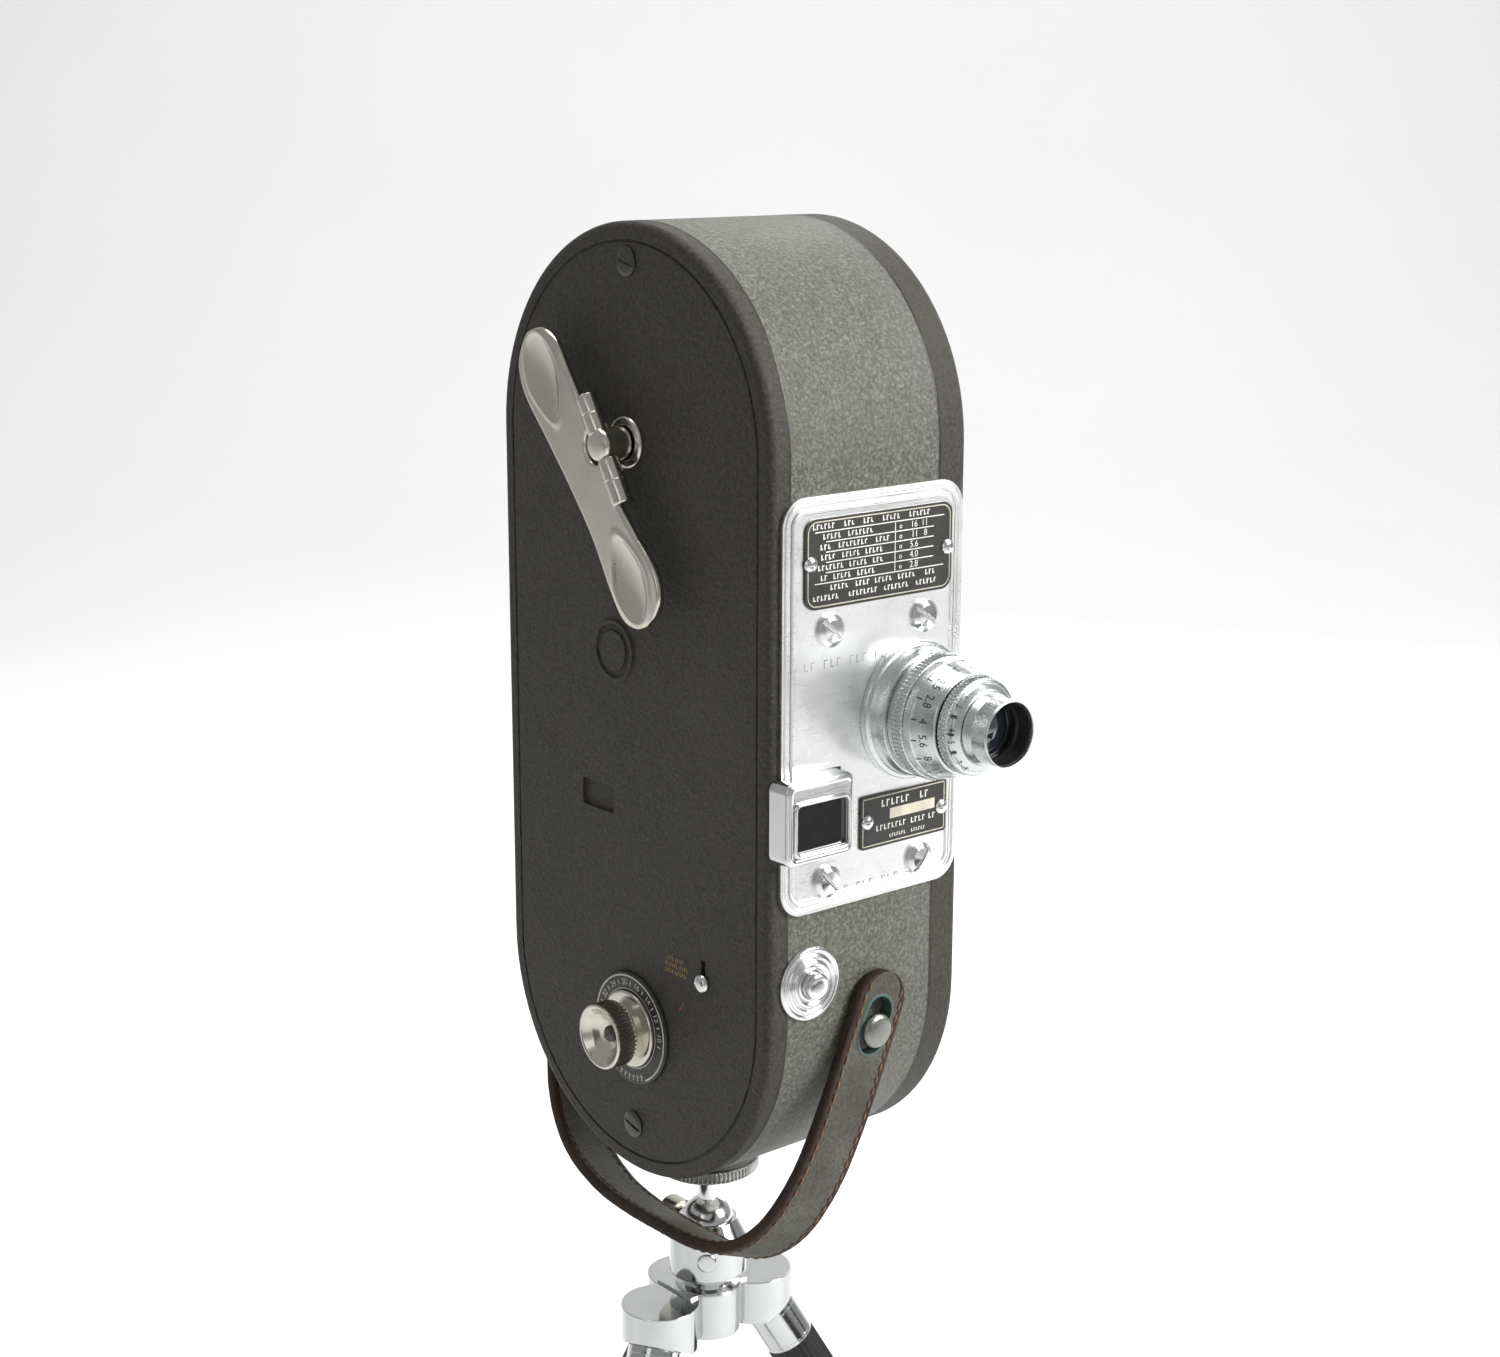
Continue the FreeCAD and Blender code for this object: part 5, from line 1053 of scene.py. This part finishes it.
def build_legs():
    """Each leg's sleeve, ribbed tube, clip and rubber foot, along its own sliding axis."""
    for side in LEGS:
        swing, slide = JOINTS[f"leg_{side}_swing"], JOINTS[f"leg_{side}_slide"]
        down = Vector(slide["axis"]).normalized()
        pin = Vector(swing["axis"]).normalized()
        origin = seat(columns(pin, down.cross(pin), down), Vector(swing["pos_m"]))
        lathe(f"ferrule_sleeve_{side}", [(3.0, 7.45), (6.2, 7.45), (6.6, 7.8), (6.7, 8.3), (6.7, 9.0),
            (6.7, 9.6, 0.5), (6.7, 17.2, 0.5), (6.7, 17.8), (6.7, 18.3), (6.4, 18.65), (3.0, 18.65)],
            origin, f"leg_{side}", "tripod", (), teeth=18, ease=0.2)
        lathe(f"ribbed_tube_{side}", [(3.0, 18.75), (6.5, 18.75), (6.75, 19.2, 0.55), (6.75, 195.2, 0.55),
            (6.5, 195.9), (5.4, 196.0)], origin, f"leg_{side}", "tube", [f"leg_upper_tube_{side}"],
            teeth=30, ease=0.3)
        lathe(f"tube_clip_{side}", [(5.4, 192.0), (6.9, 192.0), (7.0, 192.3), (7.0, 195.7), (6.9, 196.0),
            (5.4, 196.0)], origin, f"leg_{side}", "tripod", (), ease=0.15, steps=64)
        lathe(f"rubber_foot_{side}", [(3.6, 204.1), (5.6, 204.1), (5.9, 205.5), (6.3, 212.0), (6.2, 212.6),
            (6.4, 213.2), (6.5, 222.5), (6.28, 224.2), (5.63, 225.75), (4.6, 227.1), (3.25, 228.13),
            (1.7, 228.78), (0.3, 229.0)], origin, f"lower_{side}", "rubber", [f"leg_foot_{side}"], ease=0.3,
            steps=64)


build_lens()
build_lens_marks()
build_front_plate()
build_finder()
build_release()
build_dial()
build_key()
build_strap()
build_studs()
build_seams()
build_side_marks()
build_head()
build_legs()


# ---- stage, light and camera
VIEW_TURN = math.radians(40.33)


def stage_mesh(name, verts, faces, material):
    thing = bpy.data.objects.new(name, new_mesh(name, verts, faces))
    thing.data.shade_smooth()
    thing.data.materials.append(material)
    bpy.context.scene.collection.objects.link(thing)
    return thing


def add_stage():
    """A pale floor that curves up into a backdrop far behind the object, and dark cards for the chrome."""
    half, back, radius, steps = 5.0, 3.2, 1.5, 20
    row = [(-4.0, 0.0), (back - radius, 0.0)]
    for number in range(1, steps + 1):
        angle = math.pi / 2 * number / steps
        row.append((back - radius + radius * math.sin(angle), radius - radius * math.cos(angle)))
    row.append((back, 5.0))
    verts, faces = [], []
    turn = Matrix.Rotation(-VIEW_TURN, 4, "Z")
    for along, up in row:
        verts += [turn @ Vector((-half, along, up)), turn @ Vector((half, along, up))]
    for number in range(len(row) - 1):
        a = number * 2
        faces.append((a, a + 1, a + 3, a + 2))
    paper = Graph("backdrop_paper")
    stage_mesh("backdrop", verts, faces,
               paper.finish(paper.ramp(paper.noise(3, 2), [(0.2, 0.84), (0.8, 0.86)]), 0.95))
    felt = Graph("dark_card_felt")
    felt_material = felt.finish(felt.ramp(felt.noise(60, 3), [(0.3, 0.012), (0.7, 0.02)]), 0.9)
    for name, at, size in (("card_left", (-0.75, -0.12, 0.02), (0.16, 0.75)),
            ("card_low", (0.25, -0.75, -0.30), (0.7, 0.14)), ("card_right", (0.62, -0.42, 0.1),
            (0.10, 0.6))):
        centre = CASE + Vector(at)
        away = (CASE - centre).normalized()
        right = away.cross(Vector((0, 0, 1))).normalized()
        up = right.cross(away)
        corners = [centre + right * (size[0] * u) + up * (size[1] * v)
                   for u, v in ((-0.5, -0.5), (0.5, -0.5), (0.5, 0.5), (-0.5, 0.5))]
        stage_mesh(name, corners, [(0, 1, 2, 3)], felt_material)


def area_light(name, offset, aim, size, power, colour=(1.0, 1.0, 1.0)):
    data = bpy.data.lights.new(name, "AREA")
    data.shape = "RECTANGLE"
    data.size, data.size_y = size
    data.energy = power
    data.color = colour
    lamp = bpy.data.objects.new(name, data)
    bpy.context.scene.collection.objects.link(lamp)
    lamp.location = CASE + Vector(offset)
    lamp.rotation_euler = (Vector(aim) - Vector(offset)).to_track_quat("-Z", "Y").to_euler()


def add_lights():
    """Key, fill, top, rim and backdrop lamps, and a dim even world."""
    area_light("key_light", (0.85, -1.15, 0.75), (0, 0, 0), (0.8, 0.8), 36)
    area_light("fill_light", (-1.5, -0.55, 0.5), (0, 0, 0), (0.7, 1.0), 2)
    area_light("top_light", (0.25, 0.1, 1.5), (0, 0, 0), (1.0, 1.0), 7)
    area_light("rim_light", (1.3, 0.8, 0.5), (0, 0, 0), (0.6, 1.0), 6)
    area_light("backdrop_light", (0.6, 0.4, 2.0), (1.7, 2.2, 0.0), (2.0, 2.0), 39)
    world = bpy.data.worlds.new("studio")
    world.use_nodes = True
    background = world.node_tree.nodes["Background"]
    background.inputs["Color"].default_value = (0.98, 0.99, 1.0, 1.0)
    background.inputs["Strength"].default_value = 0.39
    bpy.context.scene.world = world


def add_camera():
    """From the front and the winding side, a little above."""
    data = bpy.data.cameras.new("camera")
    data.sensor_fit = "HORIZONTAL"
    data.sensor_width = 36.0
    data.lens = 58.853
    data.clip_start = 0.01
    eye = bpy.data.objects.new("camera", data)
    bpy.context.scene.collection.objects.link(eye)
    look = Vector((0.62995, 0.74199, -0.22935)).normalized()
    up = Vector((0.14629, 0.17668, 0.97334))
    right = look.cross(up).normalized()
    up = right.cross(look)
    place = CASE + Vector((-0.3712, -0.4456, 0.1414))
    eye.matrix_world = Matrix.Translation(place) @ columns(right, up, -look).to_4x4()
    bpy.context.scene.camera = eye


add_stage()
add_lights()
add_camera()
bpy.context.scene.view_settings.view_transform = "Standard"
